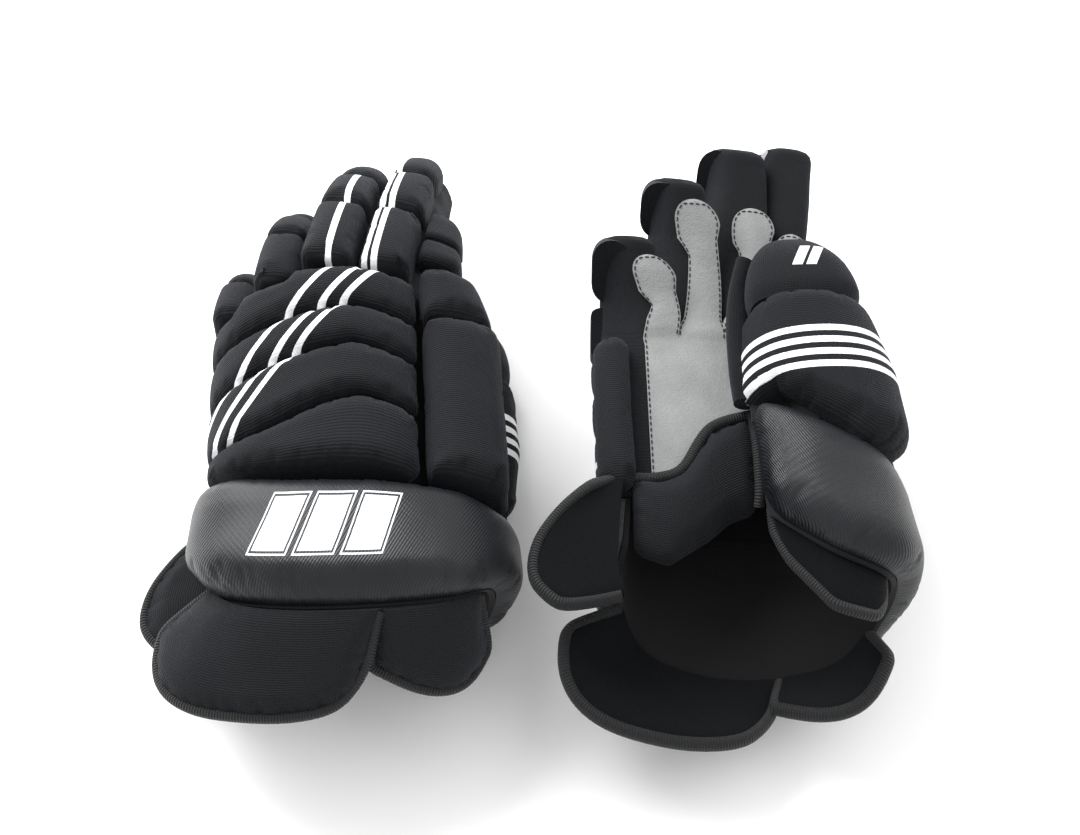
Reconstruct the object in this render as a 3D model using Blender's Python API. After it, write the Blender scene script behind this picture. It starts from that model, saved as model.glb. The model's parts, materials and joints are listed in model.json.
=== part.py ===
"""A pair of 14 inch hockey gloves, laid flat: left glove palm down, right glove palm up.

Frame: metres, +Z up, +Y towards the fingertips, +X to the right, origin on the ground
under the middle of the pair.  Every piece is described once, in millimetres, in a glove
frame: x towards the thumb, y towards the fingertips, z out of the back of the hand, with
the palm leather on z = 0.  The right glove is the same glove with z turned round.
"""
import math
from dataclasses import dataclass

import bmesh
import bpy
from mathutils import Matrix, Vector

MM = 0.001

# Driving dimensions, in millimetres and degrees.
CLEARANCE = 0.8              # between pieces that lie on each other
FABRIC = 2.5                 # a lined fabric wall
LEATHER = 1.8                # palm leather
FLAP_THICKNESS = 5.0
PAIR = {
    # glove: (place of the wrist centre x, y), turn about Z, which way up, flap droop, thumb turn
    "left": ((-92.0, -36.0), 4.0, 1, 36.0, -9.0),
    "right": ((85.5, -36.0), 1.0, -1, 32.0, 1.0),
}
NARROWING = 0.935            # an unworn glove pulls in this much across its width

# Section of the liner over the back of the hand, little-finger edge to thumb edge (x, z).
LINER_SECTION = (
    (-54, 1), (-56, 12), (-51, 26), (-37, 36), (-14, 42),
    (10, 44), (28, 42), (38, 35), (43, 22), (44, 3),
)
LINER_STATIONS = 14
ROLL_FIRST, ROLL_LAST = 1, 10        # liner stations that the knuckle rolls cover
ROLL_THICKNESS = ((-58, 5), (-50, 9), (-36, 14), (-12, 18.5), (8, 19.5), (26, 17), (40, 12))

# Lines across the back of the hand, as (x, y) points.
WRIST_LINE = ((-62, 22), (-40, 10), (-12, 3), (20, 0), (50, -4), (86, -8))
KNUCKLE_LINE = ((-62, 99), (-42, 99), (-38, 107), (-17, 107.5), (-12, 112.5), (14, 111), (42, 106))
ROLL_GROOVES = (
    ((-58, 27), (-26, 27), (6, 37), (21, 38), (44, 29)),
    ((-58, 52), (-27, 60), (6, 66), (18, 66), (44, 57)),
    ((-58, 78), (-17, 85), (9, 88), (22, 86), (44, 80)),
)
GROOVE_WIDTH = 2.0
ROLL_CROWN = ((0.0, 0.72), (0.25, 1.0), (0.75, 1.0), (1.0, 0.72))   # y share, height share
WRIST_GAP = 3.0
KNUCKLE_CLEARANCE = 1.0              # the hand ends this far behind the first finger joints
KNUCKLE_LEAN = 0.17                  # the hand's front edge runs back this much per unit down
PALM_FRONT = 9.5                     # the palm leather ends this far behind the knuckle line

# Diagonal seam between the thumb and the cuff on the palm side.
SEAM_START = (12, 49)
SEAM_SLOPE = -0.6
SEAM_GAP = 10.0

# Section of the cuff liner, round from the little-finger side over the back to the palm side.
CUFF_SECTION = (
    (-50, 0), (-52, 18), (-40, 35), (-12, 44), (20, 45), (50, 38),
    (67, 20), (69, -2), (60, -20), (38, -27), (14, -22),
)
CUFF_REAR = (-14, -30, -48, -58, -60, -55, -42, -38, -40, -32, -10)   # y at the section's points
CUFF_CENTRE = (8, 8)
CUFF_FLARE = 0.0022                  # growth of the section per millimetre below the wrist
CUFF_STATIONS = 19
CUFF_ROLL_THICKNESS = 15.0
CUFF_HINGE = (0, 8, 20)              # a point on the wrist's axis
CUFF_PALM_FRONT = 26.0               # the cuff reaches no further than this on the palm side
CUFF_CROWN = ((0.0, 0.5), (0.14, 0.85), (0.4, 1.0), (0.75, 0.92), (1.0, 0.5))

FINGER_WALL = 3.0
PAD_THICKNESS = 15.0
JOINT_WEDGE = 2.4                    # opening at each finger joint, degrees on each side
JOINT_GAP = 0.6
CAP_LENGTH = 5.0                     # rounded end of a fingertip, and how far it narrows
CAP_INSET = 4.0


@dataclass
class Finger:
    """One finger: where it leaves the hand, and the lengths along its back."""
    knuckle: tuple        # x, y and height of the pad's top at the knuckle
    lean: float           # towards the thumb, degrees
    width: float
    lengths: tuple        # top of each pad
    pitches: tuple        # slope of each pad at rest, degrees below the palm's plane
    depths: tuple         # pad and stall together, at each joint and at the tip


FINGERS = {
    "index": Finger((27.5, 111.5, 60), 11, 26, (49, 40, 33), (14, 24, 34), (48, 45, 40, 30)),
    "middle": Finger((-1.0, 116.0, 63), 10, 27, (50, 39, 32), (16, 31, 41), (50, 46, 41, 30)),
    "ring": Finger((-28.0, 111.5, 54), 6, 23, (42, 34, 28), (18, 38, 50), (46, 42, 37, 28)),
    "little": Finger((-52.0, 103.0, 38), 2, 20, (36, 32), (24, 46), (40, 36, 26)),
}
SEGMENTS = {3: ("base", "middle", "tip"), 2: ("base", "tip")}

MATERIALS = {
    # name: base colour, roughness, metallic
    "knit_fabric": ((0.018, 0.019, 0.022), 0.85, 0.0),
    "coated_twill": ((0.022, 0.027, 0.034), 0.45, 0.0),
    "palm_leather": ((0.45, 0.45, 0.44), 0.80, 0.0),
    "lining_fabric": ((0.010, 0.010, 0.011), 0.90, 0.0),
}


def clear_scene():
    for old in list(bpy.data.objects):
        bpy.data.objects.remove(old, do_unlink=True)


def make_materials():
    made = {}
    for name, (colour, roughness, metallic) in MATERIALS.items():
        material = bpy.data.materials.new(name)
        material.use_nodes = True
        shader = material.node_tree.nodes["Principled BSDF"]
        shader.inputs["Base Color"].default_value = (*colour, 1.0)
        shader.inputs["Roughness"].default_value = roughness
        shader.inputs["Metallic"].default_value = metallic
        made[name] = material
    return made


def on_line(points, x):
    """Height of a line of (x, y) points at x; flat beyond its ends."""
    if x <= points[0][0]:
        return points[0][1]
    for (x0, y0), (x1, y1) in zip(points, points[1:]):
        if x <= x1:
            return y0 + (y1 - y0) * (x - x0) / (x1 - x0)
    return points[-1][1]


def smooth_stations(points, count):
    """Points evenly spaced along a Catmull-Rom curve through the given points."""
    dense = []
    last = len(points) - 1
    for i in range(last):
        p0 = points[max(i - 1, 0)]
        p1, p2 = points[i], points[i + 1]
        p3 = points[min(i + 2, last)]
        for step in range(12):
            t = step / 12
            dense.append([
                0.5 * (2 * b + (c - a) * t + (2 * a - 5 * b + 4 * c - d) * t * t
                       + (3 * b - a - 3 * c + d) * t ** 3)
                for a, b, c, d in zip(p0, p1, p2, p3)])
    dense.append(list(points[last]))
    travelled = [0.0]
    for a, b in zip(dense, dense[1:]):
        travelled.append(travelled[-1] + math.dist(a[:2], b[:2]))
    stations = []
    k = 0
    for n in range(count):
        goal = travelled[-1] * n / (count - 1)
        while k < len(dense) - 2 and travelled[k + 1] < goal:
            k += 1
        t = (goal - travelled[k]) / (travelled[k + 1] - travelled[k])
        stations.append([a + (b - a) * t for a, b in zip(dense[k], dense[k + 1])])
    return stations


def section_normals(stations):
    """Outward unit normals of an open section that runs over the back, left to right."""
    normals = []
    for i in range(len(stations)):
        a = stations[max(i - 1, 0)]
        b = stations[min(i + 1, len(stations) - 1)]
        along = Vector((b[0] - a[0], b[1] - a[1])).normalized()
        normals.append(Vector((-along.y, along.x)))
    return normals


class Glove:
    """Places the pieces of one glove, given in its own frame in millimetres."""

    def __init__(self, name, materials):
        (x, y), turn, side, self.droop, self.thumb_turn = PAIR[name]
        self.name = name
        self.side = side
        self.materials = materials
        self.root = bpy.data.objects.new(f"{name}_glove", None)
        bpy.context.scene.collection.objects.link(self.root)
        self.root.location = Vector((x, y, 0)) * MM
        self.root.rotation_euler = (0, 0, math.radians(turn))

    def place(self, point):
        x, y, z = point
        return Vector((x * NARROWING, y, z * self.side)) * MM

    def add(self, name, mesh, axis_point, material):
        """Turns a bmesh in glove millimetres into an object with its origin at axis_point."""
        origin = self.place(axis_point)
        for vertex in mesh.verts:
            vertex.co = self.place(vertex.co) - origin
        bmesh.ops.recalc_face_normals(mesh, faces=mesh.faces)
        data = bpy.data.meshes.new(f"{self.name}_{name}")
        mesh.to_mesh(data)
        mesh.free()
        data.shade_smooth()
        data.set_sharp_from_angle(angle=math.radians(40))
        data.materials.append(self.materials[material])
        piece = bpy.data.objects.new(f"{self.name}_{name}", data)
        bpy.context.scene.collection.objects.link(piece)
        piece.parent = self.root
        piece.location = origin
        return piece


def thick_sheet(outer, inner):
    """Closed solid between two grids of points, outer[i][j] and inner[i][j]."""
    mesh = bmesh.new()
    grids = [[[mesh.verts.new(p) for p in row] for row in grid] for grid in (outer, inner)]
    rows, columns = len(outer), len(outer[0])
    for grid in grids:
        for i in range(rows - 1):
            for j in range(columns - 1):
                mesh.faces.new((grid[i][j], grid[i + 1][j], grid[i + 1][j + 1], grid[i][j + 1]))
    top, bottom = grids
    for j in range(columns - 1):
        for i in (0, rows - 1):
            mesh.faces.new((top[i][j], top[i][j + 1], bottom[i][j + 1], bottom[i][j]))
    for i in range(rows - 1):
        for j in (0, columns - 1):
            mesh.faces.new((top[i][j], top[i + 1][j], bottom[i + 1][j], bottom[i][j]))
    return mesh


def sleeve(outer, inner, closed_end):
    """A tube from outer and inner rings; its far end is closed if closed_end is true."""
    mesh = bmesh.new()
    shells = [[[mesh.verts.new(p) for p in ring] for ring in rings] for rings in (outer, inner)]
    for rings in shells:
        for a, b in zip(rings, rings[1:]):
            join_rings(mesh, a, b)
        if closed_end:
            mesh.faces.new(rings[-1])
    join_rings(mesh, shells[0][0], shells[1][0])
    if not closed_end:
        join_rings(mesh, shells[0][-1], shells[1][-1])
    return mesh


def join_rings(mesh, a, b):
    count = len(a)
    for k in range(count):
        mesh.faces.new((a[k], a[(k + 1) % count], b[(k + 1) % count], b[k]))


# --- the hand -----------------------------------------------------------------------------

def knuckle_y(x, z, top):
    """The front edge leans with the first finger joints."""
    return on_line(KNUCKLE_LINE, x) - KNUCKLE_LEAN * max(top - z, 0.0)


def wrist_y(x):
    return on_line(WRIST_LINE, x) + WRIST_GAP / 2


def liner_stations():
    stations = smooth_stations(LINER_SECTION, LINER_STATIONS)
    return stations, section_normals(stations)


def hand_liner():
    """Back and sides of the hand pocket, open at the palm, the wrist and the knuckles."""
    stations, normals = liner_stations()
    outer, inner = [], []
    for (x, z), normal in zip(stations, normals):
        inside = Vector((x, z)) - normal * FABRIC
        top = z + on_line(ROLL_THICKNESS, x)
        front = knuckle_y(x, z, top) - KNUCKLE_CLEARANCE
        rear = wrist_y(x)
        outer.append([(x, y, z) for y in (rear, (rear + front) / 2, front)])
        inner.append([(inside.x, y, max(inside.y, 1.0)) for y in (rear, (rear + front) / 2, front)])
    return thick_sheet(outer, inner)


def knuckle_roll(number):
    """One of the four padded rolls across the back, number 1 nearest the fingers."""
    stations, normals = liner_stations()
    outer, inner = [], []
    for (x, z), normal in list(zip(stations, normals))[ROLL_FIRST:ROLL_LAST + 1]:
        thickness = on_line(ROLL_THICKNESS, x)
        foot = Vector((x, z)) + normal * CLEARANCE
        crest = Vector((x, z)) + normal * thickness
        edges = [wrist_y(x) - GROOVE_WIDTH / 2]
        edges += [on_line(groove, x) for groove in ROLL_GROOVES]
        edges.append(on_line(KNUCKLE_LINE, x) + GROOVE_WIDTH / 2 - KNUCKLE_CLEARANCE)
        rear, front = edges[4 - number], edges[5 - number]
        rear += GROOVE_WIDTH / 2
        front -= GROOVE_WIDTH / 2
        lean = KNUCKLE_LEAN * (crest.y - foot.y) if number == 1 else 0.0
        outer_row, inner_row = [], []
        for share, crown in ROLL_CROWN:
            top = foot + (crest - foot) * crown
            y = rear + (front - rear) * share
            outer_row.append((top.x, y, top.y))
            inner_row.append((foot.x, y - lean * share, foot.y))
        outer.append(outer_row)
        inner.append(inner_row)
    return thick_sheet(outer, inner)


PALM_HEEL = ((-44, 17), (-22, 20), (-6, 42), (13, 51), (43, 51))


def palm():
    """The leather sheet under the hand; its heel is cut on a slant below the thumb."""
    outer, inner = [], []
    for x in (-44, -33, -22, -14, -6, 4, 13, 28, 41):
        heel = on_line(PALM_HEEL, x)
        front = on_line(KNUCKLE_LINE, x) - PALM_FRONT
        outer.append([(x, y, -0.2) for y in (heel, (heel + front) / 2, front)])
        inner.append([(x, y, -0.2 - LEATHER) for y in (heel, (heel + front) / 2, front)])
    return thick_sheet(outer, inner)


STRAP_EDGES = (
    # x, upper edge y, lower edge y
    (-42, 15, -14), (-30, 16.5, -18), (-20, 19.5, -16), (-10, 33, -10), (0, 43, -2), (7, 46, 8),
)


def heel_strap():
    """Knitted panel that closes the palm side of the wrist and dips into the cuff."""
    outer, inner = [], []
    for x, upper, lower in STRAP_EDGES:
        outer_row, inner_row = [], []
        for share in (0.0, 0.5, 1.0):
            y = upper + (lower - upper) * share
            z = -1.0 + 9.0 * share
            outer_row.append((x, y, z))
            inner_row.append((x, y, z + FABRIC))
        outer.append(outer_row)
        inner.append(inner_row)
    return thick_sheet(outer, inner)


def side_pad():
    """Pad along the little-finger edge of the palm."""
    outer, inner = [], []
    for y, inset in ((30, 3), (36, 0), (84, 0), (90, 3)):
        outer.append([(-60 + inset, y, z) for z in (-13 + inset, -4, 0)])
        inner.append([(-47, y, z) for z in (-11 + inset, -4, 0)])
    return thick_sheet(outer, inner)


SIDE_PADS_START = 47.0               # x of the channel between the rolls and the side pads
SIDE_PADS = {
    # name: rear y at the channel and at the outer edge, front y, outer x at rear and front
    "side_block": (1.5, -2.0, 84.0, 83, 83),
    "side_wedge": (87.0, 87.0, 115.0, 81, 73),
}
SIDE_PAD_SECTION = ((0, 46, 22), (0.2, 52, 19), (0.55, 50, 17), (0.85, 42, 15), (1.0, 32, 14))
SIDE_PAD_ENDS = ((0.0, 0.8), (0.12, 1.0), (0.88, 1.0), (1.0, 0.8))      # y share, height share


def thumb_side_pads():
    """The tall pad and the shorter one before it, beside the rolls and over the thumb."""
    pads = {}
    for name, (rear_in, rear_out, front, outer_rear, outer_front) in SIDE_PADS.items():
        outer, inner = [], []
        for share, edge in SIDE_PAD_ENDS:
            reach = outer_rear + (outer_front - outer_rear) * share
            rows_out, rows_in = [], []
            for across, top, bottom in SIDE_PAD_SECTION:
                x = SIDE_PADS_START + (reach - SIDE_PADS_START) * across
                rear = rear_in + (rear_out - rear_in) * across
                y = rear + (front - rear) * share
                rows_out.append((x, y, bottom + (top - bottom) * edge))
                rows_in.append((x, y, bottom))
            outer.append(rows_out)
            inner.append(rows_in)
        pads[name] = thick_sheet(outer, inner)
    return pads


# --- the fingers --------------------------------------------------------------------------

def finger_frames(finger):
    """Rest side view of a finger: the point on its back and the bisector at each joint."""
    x, y, top = finger.knuckle
    lean = math.radians(finger.lean)
    forward = Vector((math.sin(lean), math.cos(lean), 0))
    across = Vector((math.cos(lean), -math.sin(lean), 0))
    point = Vector((x, y, top))
    frames = []
    pitches = (0.0, *finger.pitches, finger.pitches[-1])
    for k, depth in enumerate(finger.depths):
        mean = math.radians((pitches[k] + pitches[k + 1]) / 2)
        up = forward * math.sin(mean) + Vector((0, 0, math.cos(mean)))
        frames.append((point.copy(), up, depth, point - up * depth))
        if k < len(finger.lengths):
            pitch = math.radians(finger.pitches[k])
            slope = forward * math.cos(pitch) - Vector((0, 0, math.sin(pitch)))
            point = point + slope * finger.lengths[k]
    return frames, across


def outer_section(width, depth):
    """Pad and stall outline, (across, up) from the middle of the palm side."""
    half = width / 2
    return [(-half + 3, 0), (half - 3, 0), (half - 0.6, 5), (half, depth * 0.55),
            (half, depth - 7), (half - 6, depth), (-half + 6, depth), (-half, depth - 7),
            (-half, depth * 0.55), (-half + 0.6, 5)]


def inner_section(width, depth):
    half = width / 2 - FINGER_WALL
    roof = depth - PAD_THICKNESS
    return [(-half + 2, LEATHER), (half - 2, LEATHER), (half, 5), (half, roof * 0.6),
            (half, roof - 4), (half - 3, roof), (-half + 3, roof), (-half, roof - 4),
            (-half, roof * 0.6), (-half, 5)]


def ring_points(section, foot, up, across):
    return [foot + across * u + up * v for u, v in section]


def finger_segment(finger, k):
    """One hollow finger segment between joints k and k + 1."""
    frames, across = finger_frames(finger)
    pitch = math.radians(finger.pitches[k])
    lean = math.radians(finger.lean)
    forward = Vector((math.sin(lean), math.cos(lean), 0))
    slope = forward * math.cos(pitch) - Vector((0, 0, math.sin(pitch)))
    is_tip = k == len(finger.lengths) - 1
    (_, up0, depth0, foot0), (_, up1, depth1, foot1) = frames[k], frames[k + 1]
    wedge = math.radians(JOINT_WEDGE)
    near_up = (Matrix.Rotation(-wedge, 3, across) @ up0).normalized()
    near_foot = foot0 + slope * JOINT_GAP
    far_up = up1 if is_tip else (Matrix.Rotation(wedge, 3, across) @ up1).normalized()
    far_foot = foot1 if is_tip else foot1 - slope * JOINT_GAP
    width = finger.width
    outer, inner = [], []
    for share in (0.0, 0.5, 1.0):
        foot = near_foot.lerp(far_foot, share)
        up = near_up.lerp(far_up, share).normalized()
        depth = depth0 + (depth1 - depth0) * share
        outer.append(ring_points(outer_section(width, depth), foot, up, across))
        inner.append(ring_points(inner_section(width, depth), foot, up, across))
    if is_tip:
        cap_foot = far_foot + slope * CAP_LENGTH + far_up * CAP_INSET
        cap = outer_section(width - 2 * CAP_INSET, depth1 - 2.5 * CAP_INSET)
        outer.append(ring_points(cap, cap_foot, far_up, across))
        inner[-1] = [p - slope * FINGER_WALL for p in inner[-1]]
    return sleeve(outer, inner, is_tip), foot0


GUARD_START = (3.5, 16)              # beside the finger and forward of its knuckle
GUARD_SECTION = ((0, 19, 14), (6, 21, 14), (34, 17, 24), (40, 13, 27))   # along, reach, drop


def index_side_guard():
    """Small pad beside the first segment of the index finger."""
    finger = FINGERS["index"]
    frames, across = finger_frames(finger)
    lean = math.radians(finger.lean)
    forward = Vector((math.sin(lean), math.cos(lean), 0))
    beside, ahead = GUARD_START
    start = frames[0][0] + across * (finger.width / 2 + beside) + forward * ahead
    outer, inner = [], []
    for along, reach, drop in GUARD_SECTION:
        base = start + forward * along
        outer.append([base + across * u + Vector((0, 0, -drop - d))
                      for u, d in ((0, 2), (reach * 0.4, 0), (reach, 7))])
        inner.append([base + across * u + Vector((0, 0, -drop - d))
                      for u, d in ((0, 15), (reach * 0.4, 15), (reach, 17))])
    return thick_sheet(outer, inner)


# --- the thumb ----------------------------------------------------------------------------

THUMB_HINGE = (62, 20, -16)
THUMB_TIP_Y = 101.0                  # where the tip cap meets the long pad
THUMB_STALL = (
    # y, left x, right x, palm-side z, far z
    (36, 31.1, 71.8, -3.7, -29.6), (66, 28.5, 65.8, -4.4, -31.4), (99.5, 26, 60, -5, -33),
)


def seam_y(x, side):
    """The slanted seam between thumb and cuff; side is 1 on the thumb, -1 on the cuff."""
    return SEAM_START[1] + SEAM_SLOPE * (x - SEAM_START[0]) + side * SEAM_GAP / 2


def box_ring(y, left, right, top, bottom, inset):
    c = 5 - inset * 0.6
    l, r, t, b = left + inset, right - inset, top - inset, bottom + inset
    return [(l + c, y, t), (r - c, y, t), (r, y, t - c), (r, y, b + c),
            (r - c, y, b), (l + c, y, b), (l, y, b + c), (l, y, t - c)]


def turn_thumb(point, degrees):
    """A point of the thumb, turned about the thumb's hinge."""
    x, y, _ = THUMB_HINGE
    hinge = Vector((x, y, 0))
    return hinge + Matrix.Rotation(math.radians(degrees), 3, "Z") @ (Vector(point) - hinge)


def thumb_stall():
    """Fabric tube that holds the thumb, open at both ends into the hand and the tip cap."""
    outer = [box_ring(*row, 0.0) for row in THUMB_STALL]
    inner = [box_ring(*row, FABRIC) for row in THUMB_STALL]
    return sleeve(outer, inner, False)


THUMB_TIP_AXIS = (70, THUMB_TIP_Y - 0.7, -24)
THUMB_PAD_REAR = 20.0
THUMB_REST = -43.0                   # the pad is flat at this level, where the left glove stands
THUMB_PAD = (
    # y share, left x, right x, lowest z
    (0.0, 11, 85, -38), (0.12, 9, 87, THUMB_REST), (0.5, 10, 85, THUMB_REST),
    (0.88, 14, 76, THUMB_REST), (1.0, 16, 73, -39.5),
)


def thumb_pad():
    """The long pad that wraps the thumb's outer side, with the stripes across it."""
    outer, inner = [], []
    for share, left, right, low in THUMB_PAD:
        middle = (left + right) / 2
        half = (right - left) / 2
        outer_row, inner_row = [], []
        for step in range(9):
            angle = math.pi * (1.0 - step / 8)
            x = middle + half * math.cos(angle)
            z = -5 + (low + 5) * min(1.0, 1.08 * math.sin(angle) ** 0.75)
            rear = max(seam_y(x, 1), THUMB_PAD_REAR)
            y = rear + (THUMB_TIP_Y - 1.5 - rear) * share
            pocket = pocket_point(step, y)
            outer_row.append((x, y, z))
            inner_row.append(pocket)
        outer.append(outer_row)
        inner.append(inner_row)
    return thick_sheet(outer, inner)


def pocket_point(step, y):
    """Inner side of the thumb pad: a channel that the stall lies in."""
    rows = THUMB_STALL
    near, far = (rows[0], rows[1]) if y < rows[1][0] else (rows[1], rows[2])
    t = (y - near[0]) / (far[0] - near[0])
    left, right, low = (near[n] + (far[n] - near[n]) * t for n in (1, 2, 4))
    left -= CLEARANCE
    right += CLEARANCE
    low -= CLEARANCE
    corners = ((left, -6), (left, -14), (left, low + 8), (left + 1, low + 1), ((left + right) / 2, low),
               (right - 1, low + 1), (right, low + 8), (right, -14), (right, -6))
    x, z = corners[step]
    return (x, y, z)


THUMB_CAP = (
    # y, left x, right x, palm-side z, far z
    (THUMB_TIP_Y, 15, 70, -6, -40), (114, 17, 65, -8, -40), (126, 20, 56, -12, -37),
    (132, 27, 49, -18, -32),
)
THUMB_CAP_HOLLOW = (
    (THUMB_TIP_Y, 26, 59, -8.5, -32), (113, 28, 55, -11, -31), (122, 31, 50, -14, -29),
)


def thumb_tip():
    """The hollow cap over the end of the thumb."""
    outer = [box_ring(*row, 0.0) for row in THUMB_CAP]
    inner = [box_ring(*row, 0.0) for row in THUMB_CAP_HOLLOW]
    return sleeve(outer, inner, True)


# --- the cuff -----------------------------------------------------------------------------

def cuff_rows():
    """Stations round the cuff: section point, outward normal, front and rear y."""
    points = [(x, z, rear) for (x, z), rear in zip(CUFF_SECTION, CUFF_REAR)]
    stations = smooth_stations(points, CUFF_STATIONS)
    normals = section_normals(stations)
    rows = []
    for (x, z, rear), normal in zip(stations, normals):
        if z < 0 and x > 0:
            front = min(seam_y(x, -1), CUFF_PALM_FRONT)
        else:
            front = on_line(WRIST_LINE, x) - WRIST_GAP / 2
        rows.append((Vector((x, z)), normal, front, rear))
    return rows


def flared(point, y):
    centre = Vector(CUFF_CENTRE)
    return centre + (point - centre) * (1.0 - CUFF_FLARE * y)


def cuff_liner():
    """Fabric funnel inside the cuff roll."""
    outer, inner = [], []
    for point, normal, front, rear in cuff_rows():
        outer_row, inner_row = [], []
        for share in (0.0, 0.5, 1.0):
            y = front + (rear - front) * share
            at = flared(point, y)
            inside = at - normal * FABRIC
            outer_row.append((at.x, y, at.y))
            inner_row.append((inside.x, y, inside.y))
        outer.append(outer_row)
        inner.append(inner_row)
    return thick_sheet(outer, inner)


def cuff_roll():
    """The big padded band round the outside of the cuff."""
    outer, inner = [], []
    rows = cuff_rows()
    for k, (point, normal, front, rear) in enumerate(rows):
        ends = min(1.0, 0.55 + 0.25 * min(k, len(rows) - 1 - k))
        outer_row, inner_row = [], []
        for share, crown in CUFF_CROWN:
            y = front + (rear - front) * share
            at = flared(point, y)
            foot = at + normal * CLEARANCE
            crest = at + normal * (CUFF_ROLL_THICKNESS * crown * ends)
            outer_row.append((crest.x, y, crest.y))
            inner_row.append((foot.x, y, foot.y))
        outer.append(outer_row)
        inner.append(inner_row)
    return thick_sheet(outer, inner)


FLAP_GAP = 3.0
BACK_FLAP_HINGE = (-12, -52, 33)
BACK_FLAP_OUTLINE = (
    # share of the way round the cuff at the root, sideways spread at the tip, length
    (0.10, -17, 12), (0.145, -22, 26), (0.21, -21, 35), (0.28, -15, 38), (0.35, -8, 38),
    (0.40, -4, 33), (0.435, -2, 18),
)
THUMB_FLAP_HINGE = (52, -55, 35)
THUMB_FLAP_OUTLINE = (
    (0.465, -3, 18), (0.50, -2, 27), (0.54, 0, 30), (0.575, 2, 27), (0.605, 4, 17),
)


def cuff_flap(outline, droop):
    """A tongue below the cuff's edge: it starts on the liner's rim and slopes away from it."""
    slope = math.radians(droop)
    rows = cuff_rows()
    outer, inner = [], []
    for share_round, spread, length in outline:
        place = share_round * (len(rows) - 1)
        k = int(place)
        (p0, n0, _, r0), (p1, n1, _, r1) = rows[k], rows[k + 1]
        t = place - k
        rear = r0 + (r1 - r0) * t
        rim = flared(p0.lerp(p1, t), rear)
        normal = n0.lerp(n1, t).normalized()
        outer_row, inner_row = [], []
        for share in (0.0, 0.5, 1.0):
            run = length * share
            x = rim.x + spread * share
            y = rear - FLAP_GAP - run * math.cos(slope)
            z = rim.y - run * math.sin(slope)
            inset = normal * FLAP_THICKNESS
            outer_row.append((x, y, z))
            inner_row.append((x - inset.x, y + 0.5 * FLAP_THICKNESS * math.sin(slope), z - inset.y))
        outer.append(outer_row)
        inner.append(inner_row)
    return thick_sheet(outer, inner)


LITTLE_FLAP_HINGE = (-60, -12, -7)
LITTLE_FLAP_OUTLINE = ((10, -58, 14), (2, -59, 25), (-12, -61, 33), (-26, -63, 31), (-36, -65, 19))


def little_side_flap():
    """Ear that sticks out at the little-finger side of the cuff."""
    outer, inner = [], []
    for y, x_root, length in LITTLE_FLAP_OUTLINE:
        outer_row, inner_row = [], []
        for share in (0.0, 0.5, 1.0):
            x = x_root - length * share
            z = LITTLE_FLAP_HINGE[2] + 2.0 - 3.0 * share
            outer_row.append((x, y - 6 * share, z))
            inner_row.append((x, y - 6 * share, z - FLAP_THICKNESS))
        outer.append(outer_row)
        inner.append(inner_row)
    return thick_sheet(outer, inner)


# --- assembly -----------------------------------------------------------------------------

def build_glove(glove):
    hand = (0, 0, 0)
    glove.add("hand_liner", hand_liner(), hand, "lining_fabric")
    glove.add("palm", palm(), hand, "palm_leather")
    for number in range(1, 5):
        glove.add(f"knuckle_roll_{number}", knuckle_roll(number), hand, "knit_fabric")
    for name, mesh in thumb_side_pads().items():
        glove.add(name, mesh, hand, "knit_fabric")
    glove.add("little_side_pad", side_pad(), hand, "knit_fabric")
    glove.add("heel_strap", heel_strap(), hand, "knit_fabric")

    for finger_name, finger in FINGERS.items():
        for k, segment in enumerate(SEGMENTS[len(finger.lengths)]):
            mesh, joint = finger_segment(finger, k)
            glove.add(f"{finger_name}_{segment}", mesh, joint, "knit_fabric")
    index_joint = finger_segment(FINGERS["index"], 0)[1]
    glove.add("index_side_guard", index_side_guard(), index_joint, "knit_fabric")

    tip_axis = turn_thumb(THUMB_TIP_AXIS, glove.thumb_turn)
    for name, mesh, axis_point, material in (
        ("thumb_stall", thumb_stall(), THUMB_HINGE, "lining_fabric"),
        ("thumb_pad", thumb_pad(), THUMB_HINGE, "knit_fabric"),
        ("thumb_tip", thumb_tip(), tip_axis, "knit_fabric"),
    ):
        for vertex in mesh.verts:
            vertex.co = turn_thumb(vertex.co, glove.thumb_turn)
        glove.add(name, mesh, axis_point, material)

    glove.add("cuff_liner", cuff_liner(), CUFF_HINGE, "lining_fabric")
    glove.add("cuff_roll", cuff_roll(), CUFF_HINGE, "coated_twill")
    back = cuff_flap(BACK_FLAP_OUTLINE, glove.droop)
    glove.add("back_flap", back, BACK_FLAP_HINGE, "knit_fabric")
    side = cuff_flap(THUMB_FLAP_OUTLINE, glove.droop)
    glove.add("thumb_side_flap", side, THUMB_FLAP_HINGE, "knit_fabric")
    glove.add("little_side_flap", little_side_flap(), LITTLE_FLAP_HINGE, "knit_fabric")


def world_box(root):
    """Lowest and highest corners of everything under an empty."""
    bpy.context.view_layer.update()
    corners = [piece.matrix_world @ vertex.co
               for piece in root.children for vertex in piece.data.vertices]
    low = [min(c[axis] for c in corners) for axis in range(3)]
    high = [max(c[axis] for c in corners) for axis in range(3)]
    return low, high


def stand_on_ground(gloves):
    """Both gloves touch the ground, with the origin under the middle of the pair."""
    boxes = [world_box(glove.root) for glove in gloves]
    for glove, (low, _) in zip(gloves, boxes):
        glove.root.location.z -= low[2]
    for axis in (0, 1):
        low = min(box[0][axis] for box in boxes)
        high = max(box[1][axis] for box in boxes)
        for glove in gloves:
            glove.root.location[axis] -= (low + high) / 2


def main():
    clear_scene()
    materials = make_materials()
    gloves = [Glove(name, materials) for name in PAIR]
    for glove in gloves:
        build_glove(glove)
    stand_on_ground(gloves)


main()
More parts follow.
